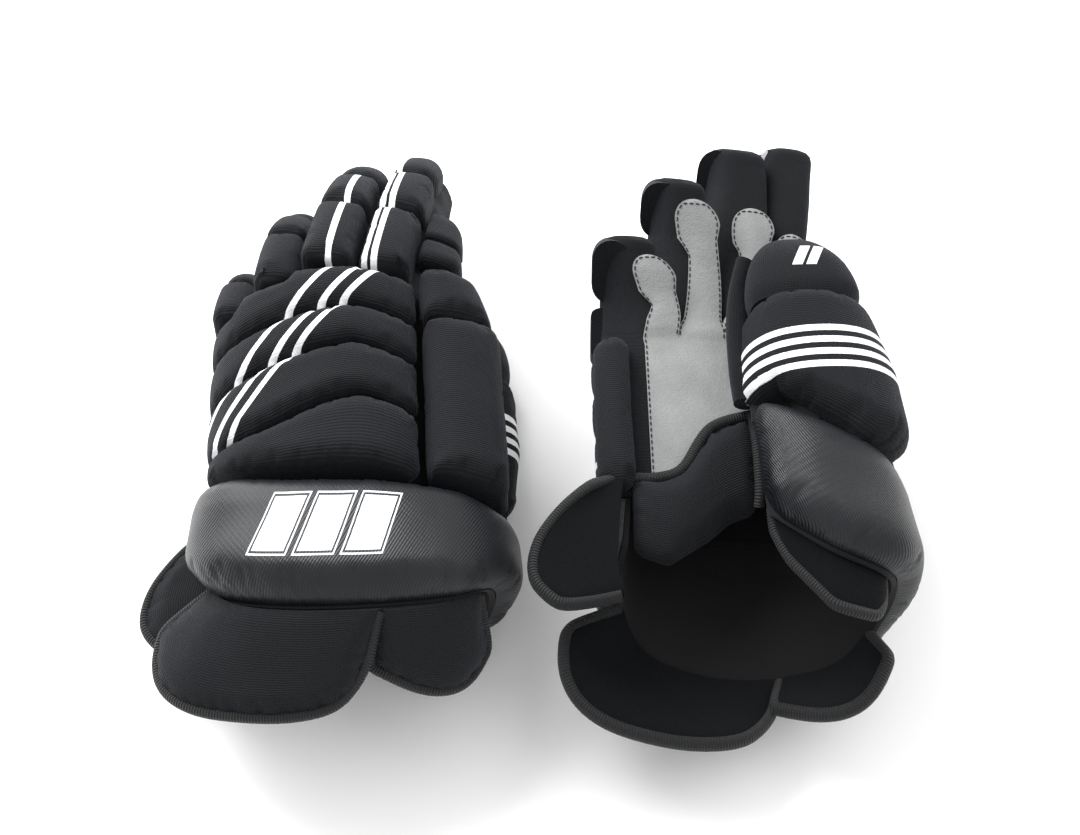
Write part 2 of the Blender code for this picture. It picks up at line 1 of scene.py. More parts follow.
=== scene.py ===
"""Looks of a pair of hockey gloves: left glove palm down, right glove palm up.

Every piece is shaped once in a glove's own frame, in millimetres: x towards the thumb, y towards
the fingertips, z out of the back of the hand, palm leather on z = 0.  The right glove is the same
glove with z turned round.
"""

import json
import math
from dataclasses import dataclass

import bmesh
import bpy
import numpy as np
from mathutils import Matrix, Vector


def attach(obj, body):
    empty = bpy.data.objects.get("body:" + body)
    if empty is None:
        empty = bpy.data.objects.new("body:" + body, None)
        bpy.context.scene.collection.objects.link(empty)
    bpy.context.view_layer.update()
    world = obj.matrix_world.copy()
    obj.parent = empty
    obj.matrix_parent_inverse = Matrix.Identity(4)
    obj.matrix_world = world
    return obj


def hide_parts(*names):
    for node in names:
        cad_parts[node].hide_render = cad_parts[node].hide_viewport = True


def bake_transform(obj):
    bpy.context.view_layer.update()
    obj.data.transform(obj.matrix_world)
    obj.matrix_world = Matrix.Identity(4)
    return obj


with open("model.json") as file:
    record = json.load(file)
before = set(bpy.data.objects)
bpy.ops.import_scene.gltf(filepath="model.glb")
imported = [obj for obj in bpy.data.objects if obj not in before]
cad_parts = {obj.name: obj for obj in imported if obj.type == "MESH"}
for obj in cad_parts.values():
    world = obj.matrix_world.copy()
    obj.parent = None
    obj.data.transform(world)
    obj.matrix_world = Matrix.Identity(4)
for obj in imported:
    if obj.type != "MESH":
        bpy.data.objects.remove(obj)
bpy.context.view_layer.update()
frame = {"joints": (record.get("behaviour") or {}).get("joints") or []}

MM = 0.001
JOINTS = {joint["name"]: joint for joint in frame["joints"]}
DROOP = {"left": 36.0, "right": 32.0}        # slope of the flaps below the cuff, degrees
THUMB_TURN = {"left": -12.5, "right": 0.0}   # the thumb at rest, towards the fingers, degrees
NARROWING = 0.935                            # an unworn glove pulls in this much across its width
WRIST_HINGE = (0, 8, 20)                     # in the glove's own frame, as THUMB_HINGE is
THUMB_HINGE = (62.0, 20.0, 0.0)


# --- curves and small maths ---

def travel(points):
    """Distance along a path at each of its points."""
    return np.concatenate([[0], np.cumsum(np.linalg.norm(np.diff(points, axis=0), axis=1))])


def read_off(place, along, table):
    """The columns of a table, read off at places between its rows."""
    return [np.interp(place, along, column) for column in table.T]


def at_share(share, table):
    """The columns of a table at shares of its length."""
    return read_off(share, np.linspace(0, 1, len(table)), table)


def between(a, b, share):
    return a + (b - a) * share


def smooth_line(points, count):
    """Points evenly spaced along a Catmull-Rom curve through the given points."""
    p = np.asarray(points, float)
    padded = np.vstack([p[:1], p, p[-1:]])
    t = np.linspace(0, 1, 12, endpoint=False)[:, None]
    dense = []
    for a, b, c, d in zip(padded, padded[1:], padded[2:], padded[3:]):
        dense.append(0.5 * (2 * b + (c - a) * t + (2 * a - 5 * b + 4 * c - d) * t ** 2
                            + (3 * b - a - 3 * c + d) * t ** 3))
    dense = np.vstack(dense + [p[-1:]])
    distance = travel(dense[:, :2])
    return np.stack(read_off(np.linspace(0, distance[-1], count), distance, dense), 1)


def through(points, x):
    """Height of a smooth curve of (x, y) points at x; flat beyond its ends."""
    line = smooth_line(points, 160)
    return np.interp(x, line[:, 0], line[:, 1])


def straight(points, x):
    """Height of a bent line of (x, y) points at x."""
    p = np.asarray(points, float)
    return np.interp(x, p[:, 0], p[:, 1])


def rise(distance, reach, power):
    """Pillow profile: 0 at an edge, 1 from reach inwards, steep at first."""
    share = np.clip(distance / reach, 0, 1)
    return (1 - (1 - share) ** power) ** (1 / power)


def ripple(points, size, seed):
    """Smooth noise, about -1 to 1, from a few plane waves of about the given length."""
    rng = np.random.default_rng(seed)
    flat = points.reshape(-1, 3)
    total = 0
    for _ in range(9):
        direction = rng.normal(size=3)
        direction /= np.linalg.norm(direction)
        length = size * rng.uniform(0.7, 1.5)
        total = total + np.sin(flat @ direction * (2 * math.pi / length) + rng.uniform(0, 2 * math.pi))
    return (total / 5).reshape(*points.shape[:-1], 1)


def unit(v):
    return v / np.linalg.norm(v, axis=-1, keepdims=True)


def joined(*parts):
    """Coordinates x, y and z, or other columns, as one table."""
    return np.stack(parts, -1)


def outward(line):
    """Normals of a line of (x, z) rows that runs clockwise round the glove."""
    slope = np.gradient(line[:, :2], axis=0)
    return unit(np.stack([-slope[:, 1], slope[:, 0]], 1))


def shares(rows, columns, last=1.0):
    """Two grids of shares, down the rows and along the columns."""
    return np.meshgrid(np.linspace(0, 1, rows), np.linspace(0, last, columns), indexing="ij")


def circle(around):
    return np.linspace(0, 2 * math.pi, around, endpoint=False)


def squared(wave, power):
    """A cosine or sine that makes a circle squarer; a smaller power is squarer."""
    return np.sign(wave) * np.abs(wave) ** power


def side_ticks(length, edge, step):
    """Sample shares along a side of a pad: close together over its rounded edges."""
    edge = min(edge, 0.45 * length)
    bend = edge * (1 - np.cos(np.linspace(0, math.pi / 2, 7)))
    inner = np.linspace(edge, length - edge, max(3, int((length - 2 * edge) / step) + 2))
    return np.concatenate([bend, inner[1:-1], length - bend[::-1]]) / length


# --- shapes ---

@dataclass
class Shape:
    """A closed body in glove millimetres, with each point's place on the flat cloth."""
    points: np.ndarray
    faces: list
    cloth: np.ndarray
    rest: np.ndarray = None      # where the points lay when the prints were laid out
    held: np.ndarray = None      # a pad's points that are sewn down; the others may swell


def grid_faces(rows, columns, start=0):
    index = np.arange(rows * columns).reshape(rows, columns) + start
    return joined(index[:-1, :-1], index[1:, :-1], index[1:, 1:], index[:-1, 1:]).reshape(-1, 4)


def closed_sheet(top, bottom, cloth):
    """Closed body between two grids of points of the same size."""
    rows, columns = top.shape[:2]
    count = rows * columns
    faces = grid_faces(rows, columns).tolist()
    faces += grid_faces(rows, columns, count)[:, ::-1].tolist()
    index = np.arange(count).reshape(rows, columns)
    rim = np.concatenate([index[0, :-1], index[:-1, -1], index[-1, :0:-1], index[:0:-1, 0]]).tolist()
    for a, b in zip(rim, rim[1:] + rim[:1]):
        faces.append([a, b, b + count, a + count])
    flat = cloth.reshape(-1, 2)
    points = np.vstack([top.reshape(-1, 3), bottom.reshape(-1, 3)])
    return Shape(points, faces, np.vstack([flat, flat]))


def tube(rings, along, hollow=None, open_end=False):
    """A swept tube from rings of points; hollow gives its inner rings."""
    rings = np.asarray(rings, float)
    count, around = rings.shape[:2]
    index = np.arange(count * around).reshape(count, around)

    def walls(numbers):
        after = np.roll(numbers, -1, axis=1)
        return joined(numbers[:-1], after[:-1], after[1:], numbers[1:]).reshape(-1, 4).tolist()

    girth = np.linalg.norm(np.roll(rings[0], -1, 0) - rings[0], axis=1)
    round_ = np.concatenate([[0], np.cumsum(girth)[:-1]])
    cloth = np.stack(np.meshgrid(along, round_, indexing="ij"), -1).reshape(-1, 2)
    points = rings.reshape(-1, 3)
    faces = walls(index)
    if hollow is None:
        faces += [index[0][::-1].tolist(), index[-1].tolist()]
        return Shape(points, faces, cloth)
    inner = index + count * around
    faces += [face[::-1] for face in walls(inner)]
    ends = [0] if not open_end else [0, -1]
    for end in ends:
        for k in range(around):
            n = (k + 1) % around
            faces.append([int(index[end][k]), int(index[end][n]), int(inner[end][n]), int(inner[end][k])])
    if not open_end:
        faces += [index[-1].tolist(), inner[-1][::-1].tolist()]
    return Shape(np.vstack([points, np.asarray(hollow, float).reshape(-1, 3)]), faces,
                 np.vstack([cloth, cloth]))


def merge(shapes):
    faces, start = [], 0
    for shape in shapes:
        faces += [[number + start for number in face] for face in shape.faces]
        start += len(shape.points)
    return Shape(np.vstack([s.points for s in shapes]), faces, np.vstack([s.cloth for s in shapes]))


def spans(at):
    """Lengths of the middle lines of a pad, across and along."""
    line, half = np.linspace(0, 1, 40), np.full(40, 0.5)
    lines = (at(line, half)[1], at(half, line)[1])
    return [travel(points)[-1] for points in lines]


def pad(at, edge, step=2.4, power=2.3, rim=0.1, square=(), under=None, wrinkle=0.25, seed=1):
    """A stuffed pad.  at(u, v) gives its foot and its full height for shares u and v of its sides.

    The edges named in square ("u0", "u1", "v0", "v1") are not rounded.  under, where given, is how
    far the pad also swells below its foot, as a share of its height.
    """
    edge_u, edge_v = (edge, edge) if np.isscalar(edge) else edge
    size = spans(at)
    u, v = side_ticks(size[0], edge_u, step), side_ticks(size[1], edge_v, step)
    grid_u, grid_v = np.meshgrid(u, v, indexing="ij")
    far = 1e3
    to_u = np.minimum(far if "u0" in square else grid_u * size[0],
                      far if "u1" in square else (1 - grid_u) * size[0])
    to_v = np.minimum(far if "v0" in square else grid_v * size[1],
                      far if "v1" in square else (1 - grid_v) * size[1])
    edge_u, edge_v = min(edge_u, 0.5 * size[0]), min(edge_v, 0.5 * size[1])
    short_u = 1 - np.clip(to_u / edge_u, 0, 1)
    short_v = 1 - np.clip(to_v / edge_v, 0, 1)
    outside = np.maximum(short_u, short_v)
    pull = 1 - outside / np.maximum(np.hypot(short_u, short_v), 1e-9) * (outside > 0) - (outside <= 0)
    grid_u = grid_u + short_u * pull * edge_u / size[0] * np.where(grid_u < 0.5, 1, -1)
    grid_v = grid_v + short_v * pull * edge_v / size[1] * np.where(grid_v < 0.5, 1, -1)
    foot, crest = at(grid_u, grid_v)
    height = (rim + (1 - rim) * rise(1 - outside, 1.0, power))[..., None]
    lift = crest - foot
    waves = wrinkle * ripple(crest, 26, seed)
    top = foot + lift * height + unit(lift) * waves * height
    bottom = foot if under is None else foot - lift * height * under
    cloth = joined((grid_u - 0.5) * size[0], grid_v * size[1])
    shape = closed_sheet(top, bottom - unit(lift) * 0.05, cloth)
    number = np.arange(grid_u.size).reshape(grid_u.shape)
    sewn = [number[0], number[-1], number[:, 0], number[:, -1], number.ravel() + grid_u.size]
    shape.held = np.unique(np.concatenate(sewn))
    return shape


def cord_tube(path, normals, half_wide, half_high, around=10):
    """A tube of oval section along a path; half_high is along the normals."""
    path = np.asarray(path, float)
    tangent = unit(np.gradient(path, axis=0))
    binormal = unit(np.cross(tangent, np.asarray(normals, float)))
    normal = np.cross(binormal, tangent)
    wide = np.cos(circle(around))[None, :, None] * np.broadcast_to(half_wide, len(path))[:, None, None]
    high = np.sin(circle(around))[None, :, None] * np.broadcast_to(half_high, len(path))[:, None, None]
    rings = path[:, None] + binormal[:, None] * wide + normal[:, None] * high
    return tube(rings, travel(path))


def even_path(points, step):
    """The same path with points about step apart."""
    along = travel(points)
    goal = np.linspace(0, along[-1], max(2, int(along[-1] / step) + 1))
    return np.stack(read_off(goal, along, points), 1)


def stitches(path, normals, pitch=3.3, length=2.2, radius=0.38):
    """A row of stitches that lie along a path on a surface."""
    both = even_path(np.hstack([path, normals]), pitch)
    made = []
    for a, b in zip(both, both[1:]):
        gap = (b[:3] - a[:3]) * 0.5 * (1 - length / pitch)
        start, end = a[:3] + gap, b[:3] - gap
        share = np.array([0.0, 0.12, 0.5, 0.88, 1.0])[:, None]
        line = between(start, end, share)
        size = radius * np.array([0.35, 0.85, 1.0, 0.85, 0.35])
        made.append(cord_tube(line, np.repeat(a[None, 3:], 5, 0), size, size, around=6))
    return merge(made)


# --- materials ---

class Shader:
    """Builds one procedural material."""

    def __init__(self, name, roughness, shine):
        self.material = bpy.data.materials.new(name)
        self.material.use_nodes = True
        self.tree = self.material.node_tree
        self.surface = self.tree.nodes["Principled BSDF"]
        self.surface.inputs["Roughness"].default_value = roughness
        self.surface.inputs["Specular IOR Level"].default_value = shine

    def put(self, socket, value):
        if isinstance(value, bpy.types.NodeSocket):
            self.tree.links.new(value, socket)
        else:
            socket.default_value = value

    def node(self, kind, settings=None, **inputs):
        made = self.tree.nodes.new(kind)
        for key, value in (settings or {}).items():
            setattr(made, key, value)
        for key, value in inputs.items():
            self.put(made.inputs[key.replace("_", " ")], value)
        return made

    def math(self, operation, *values):
        made = self.tree.nodes.new("ShaderNodeMath")
        made.operation = operation
        for socket, value in zip(made.inputs, values):
            self.put(socket, value)
        return made.outputs[0]

    def times(self, a, b):
        return self.math("MULTIPLY", a, b)

    def plus(self, a, b):
        return self.math("ADD", a, b)

    def attribute(self, name):
        return self.node("ShaderNodeAttribute", {"attribute_name": name}).outputs["Vector"]

    def across(self, vector, direction):
        """Dot product of a vector output with a fixed direction."""
        made = self.node("ShaderNodeVectorMath", {"operation": "DOT_PRODUCT"})
        self.put(made.inputs[0], vector)
        made.inputs[1].default_value = direction
        return made.outputs["Value"]

    def noise(self, scale, detail=3.0):
        made = self.node("ShaderNodeTexNoise", Vector=self.attribute("rest"), Scale=scale, Detail=detail)
        return made.outputs["Fac"]

    def remap(self, value, low, high, out_low, out_high):
        made = self.node("ShaderNodeMapRange", Value=value)
        for key, number in (("From Min", low), ("From Max", high), ("To Min", out_low), ("To Max", out_high)):
            made.inputs[key].default_value = number
        return made.outputs["Result"]

    def mix(self, factor, a, b):
        made = self.node("ShaderNodeMix", {"data_type": "RGBA"})
        self.put(made.inputs["Factor"], factor)
        for key, value in (("A", a), ("B", b)):
            socket = next(s for s in made.inputs if s.name == key and s.type == "RGBA")
            self.put(socket, value if isinstance(value, bpy.types.NodeSocket) else (*value, 1.0))
        return next(s for s in made.outputs if s.type == "RGBA")

    def wave(self, value, period):
        """0 to 1 and back with the given period in millimetres."""
        turned = self.math("SINE", self.times(value, 2 * math.pi / period))
        return self.math("MULTIPLY_ADD", turned, 0.5, 0.5)

    def bump(self, height, distance, strength=1.0):
        made = self.node("ShaderNodeBump", Height=height, Distance=distance * MM, Strength=strength)
        self.put(self.surface.inputs["Normal"], made.outputs["Normal"])

    def bar_masks(self, bars, plane, slant):
        """Filled slanted bars, each a centre and half sizes, and the thin outline round each."""
        slanted, along = self.across(plane, slant), self.across(plane, (0, 1, 0))

        def block(centre, half, grow):
            wide = self.math("COMPARE", slanted, centre[0], half[0] + grow)
            tall = self.math("COMPARE", along, centre[1], half[1] + grow)
            return self.times(wide, tall)

        fill, rim = 0.0, 0.0
        for centre, half in bars:
            fill = self.math("MAXIMUM", fill, block(centre, half, 0.0))
            ring = self.math("SUBTRACT", block(centre, half, RIM_OUTER), block(centre, half, RIM_INNER))
            rim = self.math("MAXIMUM", rim, ring)
        return fill, rim

    def set(self, **inputs):
        for key, value in inputs.items():
            self.put(self.surface.inputs[key.replace("_", " ")], value)


WHITE_PRINT = (0.80, 0.81, 0.82)
RIM_INNER, RIM_OUTER = 1.15, 2.0             # how far a bar's outline lies outside it
CHARCOAL = (0.0055, 0.006, 0.0072)


def shaded(base, share):
    return [channel * share for channel in base]


def knit(name, stripes=None, bars=(), base=CHARCOAL, period=1.1, sheen=0.07, shine=0.16):
    """Rib knit; stripes is (attribute, direction, centres, half width) of a white print."""
    s = Shader(name, 0.82, shine)
    cloth = s.attribute("cloth")
    drift = s.remap(s.noise(0.25), 0.0, 1.0, -0.5, 0.5)
    ribs = s.wave(s.plus(s.across(cloth, (0, 1, 0)), drift), period)
    loops = s.wave(s.plus(s.across(cloth, (1, 0, 0)), drift), period * 0.9)
    fine = s.noise(2.2, 4.0)
    shade = s.mix(s.remap(fine, 0.3, 0.7, 0.0, 1.0), shaded(base, 0.8), shaded(base, 1.35))
    shade = s.mix(s.times(ribs, 0.35), shade, shaded(base, 2.0))
    lint = s.remap(s.noise(1.1, 5.0), 0.72, 0.78, 0.0, 0.5)
    colour = s.mix(lint, shade, (0.06, 0.06, 0.065))
    weave = s.plus(s.times(ribs, 0.7), s.times(loops, 0.35))
    height = s.plus(weave, s.times(fine, 0.8))
    if stripes:
        attribute, direction, centres, half = stripes
        place = s.across(s.attribute(attribute), direction)
        place = s.plus(place, s.remap(s.noise(1.6), 0.0, 1.0, -0.22, 0.22))
        mask = 0.0
        for centre in centres:
            mask = s.math("MAXIMUM", mask, s.math("COMPARE", place, centre, half))
        colour = s.mix(mask, colour, WHITE_PRINT)
        s.set(Roughness=s.remap(mask, 0.0, 1.0, 0.82, 0.55))
        height = s.times(height, s.remap(mask, 0.0, 1.0, 1.0, 0.45))
    if bars:
        rest = s.attribute("rest")
        palm_side = s.math("LESS_THAN", s.across(rest, (0, 0, 1)), -30.0)
        fill = s.bar_masks(bars, rest, (1.0, -0.45, 0))[0]
        colour = s.mix(s.times(fill, palm_side), colour, WHITE_PRINT)
    s.set(Base_Color=colour, Sheen_Weight=sheen, Sheen_Roughness=0.4, Sheen_Tint=(0.8, 0.85, 1.0, 1.0))
    s.bump(height, 0.28)
    return s.material


def twill(name, bars):
    """Coated diagonal twill; bars are slanted white blocks (centre, half width) on its cloth."""
    s = Shader(name, 0.42, 0.34)
    cloth = s.attribute("cloth")
    ribs = s.wave(s.across(cloth, (0.78, 0.62, 0)), 1.35)
    broken = s.wave(s.across(cloth, (0.62, -0.78, 0)), 2.3)
    weave = s.plus(ribs, s.times(broken, 0.3))
    fine = s.noise(1.4)
    colour = s.mix(s.times(ribs, 0.5), (0.0028, 0.0036, 0.0050), (0.0062, 0.0080, 0.0108))
    colour = s.mix(s.remap(s.noise(0.05, 2.0), 0.35, 0.65, 0.0, 0.25), colour, (0.012, 0.0145, 0.018))
    rough = s.remap(s.plus(fine, ribs), 0.3, 1.5, 0.32, 0.48)
    fill, rim = s.bar_masks(bars, cloth, (1.0, 0.45, 0))
    colour = s.mix(rim, colour, (0.72, 0.74, 0.78))
    colour = s.mix(fill, colour, (0.78, 0.79, 0.82))
    s.set(Base_Color=colour, Roughness=rough)
    s.bump(s.plus(weave, s.times(fine, 0.4)), 0.13)
    return s.material


def leather(name):
    """Light grey suede."""
    s = Shader(name, 0.88, 0.25)
    nap = s.noise(1.3, 5.0)
    cloudy = s.noise(0.045, 3.0)
    colour = s.mix(s.remap(cloudy, 0.3, 0.7, 0.0, 1.0), (0.19, 0.195, 0.195), (0.25, 0.255, 0.255))
    colour = s.mix(s.remap(nap, 0.35, 0.75, 0.0, 0.4), colour, (0.155, 0.157, 0.157))
    s.set(Base_Color=colour, Sheen_Weight=0.06, Sheen_Roughness=0.5)
    s.bump(s.plus(nap, s.times(s.noise(0.35), 0.8)), 0.35)
    return s.material


def plain_cloth(name, base, roughness, period=0.0, depth=0.2):
    """Black lining, binding or thread; period gives ribs along the cloth's length."""
    s = Shader(name, roughness, 0.3)
    fuzz = s.noise(1.8, 4.0)
    colour = s.mix(s.remap(fuzz, 0.3, 0.7, 0.0, 1.0), shaded(base, 0.7), shaded(base, 1.5))
    height = s.times(fuzz, 0.8)
    if period:
        ribs = s.wave(s.across(s.attribute("cloth"), (1, 0, 0)), period)
        colour = s.mix(s.times(ribs, 0.5), colour, shaded(base, 1.6))
        height = s.plus(height, s.times(ribs, 1.2))
    s.set(Base_Color=colour, Sheen_Weight=0.05, Sheen_Roughness=0.5)
    s.bump(height, depth)
    return s.material


ROLL_STRIPES = ("rest", (1.1, -1.0, 0.0), (-106.0, -90.0, -79.0), 2.1)
CUFF_BARS = (((-69, 26), (8.8, 12)), ((-44.5, 26), (8.8, 12)), ((-20, 26), (8.8, 12)))
CAP_BARS = (((-10.0, 117.0), (2.6, 6.5)), ((-3.0, 117.0), (2.6, 6.5)))

MATERIALS = {
    "knit": knit("knit"),
    "knit_roll": knit("knit_roll", ROLL_STRIPES),
    "knit_index": knit("knit_index", ("cloth", (1, 0, 0), (-9.5, -4.3), 1.7)),
    "knit_index_tip": knit("knit_index_tip", ("cloth", (1, 0, 0), (-8.5,), 1.7)),
    "knit_middle": knit("knit_middle", ("cloth", (1, 0, 0), (1.8,), 1.7)),
    "knit_thumb": knit("knit_thumb", ("rest", (0, 1, 0), (51.5, 58.0, 64.5, 71.0), 1.7)),
    "knit_cap": knit("knit_cap", bars=CAP_BARS),
    "gusset": knit("gusset", base=(0.0042, 0.0046, 0.0056), period=0.8),
    # painted shade: a darker, less shiny copy of the knit for the flaps' inner sides on the palm-up glove and
    # for the facing pad, which lie in shade
    "facing": knit("facing", base=(0.0030, 0.0033, 0.0040), period=0.8, sheen=0.02, shine=0.08),
    "twill_marked": twill("twill_marked", CUFF_BARS),
    "leather": leather("leather"),
    "lining": plain_cloth("lining", (0.003, 0.003, 0.0036), 0.9),
    "binding": plain_cloth("binding", (0.0042, 0.0046, 0.0054), 0.6, 1.35, 0.5),
    "thread": plain_cloth("thread", (0.008, 0.009, 0.010), 0.6, 0.5, 0.1),
}
SLOTS = {"leather": "palm_leather", "thread": "palm_leather", "twill_marked": "coated_twill",
         "lining": "lining", "binding": "lining"}    # every other material is a knit_fabric


# --- the gloves' frames ---

class Glove:
    """Turns shapes given in one glove's own frame into pieces of the scene."""

    def __init__(self, name):
        self.name = name
        self.side = 1 if name == "left" else -1
        self.droop = math.radians(DROOP[name])
        self.waiting, self.covers = [], []
        hinge = JOINTS[f"{name}_wrist_flex"]
        axis = Vector(hinge["axis"]) * self.side
        spin = Matrix.Rotation(math.atan2(axis.y, axis.x), 4, "Z")
        x, y, z = WRIST_HINGE
        origin = Vector(hinge["pos_m"]) - spin @ (Vector((x, y, z * self.side)) * MM)
        size = Matrix.Diagonal((MM * NARROWING, MM, MM * self.side, 1))
        self.matrix = np.array(Matrix.Translation(origin) @ spin @ size)

    def world(self, points):
        return np.asarray(points, float).reshape(-1, 3) @ self.matrix[:3, :3].T + self.matrix[:3, 3]

    def add(self, name, shape, material, rides, stands_for=(), fill=None, crease=55):
        """rides is a body's name, or (body, body, start, end) for a piece between two bodies, which is only
        baked in place.
        """
        mesh = bpy.data.meshes.new(f"{self.name}_{name}_look")
        mesh.from_pydata(self.world(shape.points).tolist(), [], shape.faces)
        work = bmesh.new()
        work.from_mesh(mesh)
        bmesh.ops.recalc_face_normals(work, faces=work.faces)
        work.to_mesh(mesh)
        work.free()
        laid_out = shape.points if shape.rest is None else shape.rest
        flat = np.hstack([shape.cloth, np.zeros((len(shape.cloth), 1))])
        for key, place in (("rest", laid_out), ("cloth", flat)):
            attribute = mesh.attributes.new(key, "FLOAT_VECTOR", "POINT")
            attribute.data.foreach_set("vector", place.astype(np.float32).ravel())
        mesh.shade_smooth()
        mesh.set_sharp_from_angle(angle=math.radians(crease))
        mesh.materials.append(MATERIALS[material])
        piece = bpy.data.objects.new(mesh.name, mesh)
        bpy.context.scene.collection.objects.link(piece)
        if fill is not None and shape.held is not None:
            self.covers.append((piece, shape.held))
        self.waiting.append((piece, rides, SLOTS.get(material, "knit_fabric"), stands_for, fill))

    def attach(self):
        """Joins each piece that rides one body to that body, once its shape is final; a piece between two
        bodies is only baked in place.
        """
        bpy.context.view_layer.update()
        for piece, rides, slot, stands_for, fill in self.waiting:
            if isinstance(rides, str):
                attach(piece, f"{self.name}_{rides}")
            else:
                a, b, start, end = rides
                start, end = (tuple(map(float, self.world(p)[0])) for p in (start, end))
                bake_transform(piece)
            if stands_for:
                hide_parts(*(f"{self.name}_{node}" for node in stands_for))


# --- the hand ---

ROLL_SECTION = (
    (-54, 1), (-56, 12), (-51, 26), (-37, 36), (-14, 42),
    (10, 44), (28, 42), (38, 35), (43, 22), (44, 3),
)
SKIN_SECTION = (*ROLL_SECTION[:7], (37, 36), (46, 25), (60, 16), (74, 13), (83, 9))
ROLL_THICKNESS = ((-58, 5), (-50, 9), (-36, 14), (-12, 18.5), (8, 19.5), (26, 17), (40, 12))
WRIST_LINE = ((-62, 22), (-40, 10), (-12, 3), (20, 0), (50, -4), (86, -8))
KNUCKLE_LINE = ((-62, 99), (-42, 99), (-38, 107), (-17, 107.5), (-12, 112.5), (14, 111), (42, 106))
ROLL_GROOVES = (
    ((-58, 27), (-26, 27), (6, 37), (21, 38), (44, 29)),
    ((-58, 52), (-27, 60), (6, 66), (18, 66), (44, 57)),
    ((-58, 78), (-17, 85), (9, 88), (22, 86), (44, 80)),
)
GROOVE = 0.6                              # between neighbouring pads, at their foot


def section_at(section, share):
    """Point and outward normal of an open section at shares of its length, as columns."""
    line = smooth_line(section, 240)
    return at_share(share, np.hstack([line, outward(line)]))


def knuckle_roll(number):
    def at(u, v):
        x, z, nx, nz = section_at(ROLL_SECTION, (1 + 9 * u) / 13)
        edges = [through(WRIST_LINE, x) + 1.5]
        edges += [through(groove, x) for groove in ROLL_GROOVES]
        edges.append(straight(KNUCKLE_LINE, x) - 0.5)
        rear = edges[4 - number] + GROOVE / 2
        front = edges[5 - number] - GROOVE / 2
        y = between(rear, front, v)
        thick = through(ROLL_THICKNESS, x)
        foot = joined(x + nx * 0.4, y, z + nz * 0.4)
        return foot, joined(x + nx * thick, y, z + nz * thick)
    return pad(at, (6, 5), power=2.6, rim=0.55, seed=10 + number)


def hand_skin():
    u, y_share = shares(70, 14)
    x, z, nx, nz = section_at(SKIN_SECTION, u)
    rear = through(WRIST_LINE, x) + 3
    front = straight(KNUCKLE_LINE, x) - 4
    y = between(rear, front, y_share)
    outer = joined(x, y, z)
    return closed_sheet(outer, joined(x - nx * 2, y, np.maximum(z - nz * 2, 0.8)),
                        joined(u * 200, y))


SIDE_TOP = ((0, 51), (0.25, 53.5), (0.55, 51), (0.85, 45), (1, 38))
SIDE_INNER = 46.2                         # x of the side pads' edge beside the rolls


def side_pad_shape(rear, front, reach, seed):
    """A pad over the thumb: y of its rear and front, each inner then outer, and its outer x there."""
    def at(u, v):
        x = between(SIDE_INNER, between(*reach, v), u)
        y = between(between(*rear, u), between(*front, u), v)
        return joined(x, y, 23 - 9 * u), joined(x, y, through(SIDE_TOP, u))
    return pad(at, 5.5, power=2.6, rim=0.45, seed=seed)


LITTLE_SECTION = ((-42, -1), (-45, -10), (-52, -13), (-59, -9), (-61, -1), (-58, 7))


def little_side_pad():
    def at(u, v):
        x, z, _, _ = section_at(LITTLE_SECTION, u)
        y = 12 + 82 * v
        foot = joined(-50 - 5 * u, y, -1 + 6 * u)
        return foot, joined(x, y, z)
    return pad(at, (6, 9), power=2.2, rim=0.3, seed=21)


STRAP_UPPER = ((-46, 17), (-33, 17), (-21, 22), (-6, 43), (15, 50))
STRAP_LOWER = ((-46, -16), (-30, -22), (-10, -10), (1, -1), (15, 4))


def heel_strap():
    def at(u, v):
        x = between(STRAP_UPPER[0][0], STRAP_UPPER[-1][0], u)
        y = between(straight(STRAP_UPPER, x), straight(STRAP_LOWER, x), v)
        foot = joined(x, y, -1.5 + 8 * v)
        return foot, foot + joined(0 * u, 0 * u, -(6 + 3 * np.sin(math.pi * v)))
    return pad(at, (6, 6), power=2.2, rim=0.1, wrinkle=0.6, seed=22)


def strap_pipings():
    """Ribbed cords along the strap's upper edge and down its thumb-side end."""
    top = smooth_line([(x, y, -5.5) for x, y in STRAP_UPPER], 40)
    end = smooth_line([(15, 49, -7.5), (15.6, 30, -8.5), (15.2, 10, -6), (14.5, 3, -2)], 30)
    return merge([cord_tube(path, np.tile((0, 0, -1), (len(path), 1)), 2.6, 2.2, around=12)
                  for path in (top, end)])


def side_cloth():
    """Dark cloth between the palm leather and the little-finger edge."""
    u, v = shares(20, 46)
    x = -57 + 25 * u
    y = 10 + 91 * v
    z = -0.4 - 1.2 * np.sin(math.pi * u) + 3.0 * (1 - np.clip(u * 5, 0, 1)) ** 2
    outer = joined(x, y, z)
    return closed_sheet(outer, outer + (0, 0, 1.2), joined(x, y))


# --- the fingers ---

@dataclass
class Finger:
    knuckle: tuple        # x, y and height of the pad's top at the knuckle
    lean: float           # towards the thumb, degrees
    width: float
    lengths: tuple        # top of each pad
    pitches: tuple        # slope of each pad at rest, degrees
    depths: tuple         # pad and stall together, at each joint and at the tip
    shifts: tuple         # how far the palm side sits towards the thumb: knuckle, middle, tip
    tab: tuple            # leather tab: y of the slits beside it, its length, half widths of neck and end


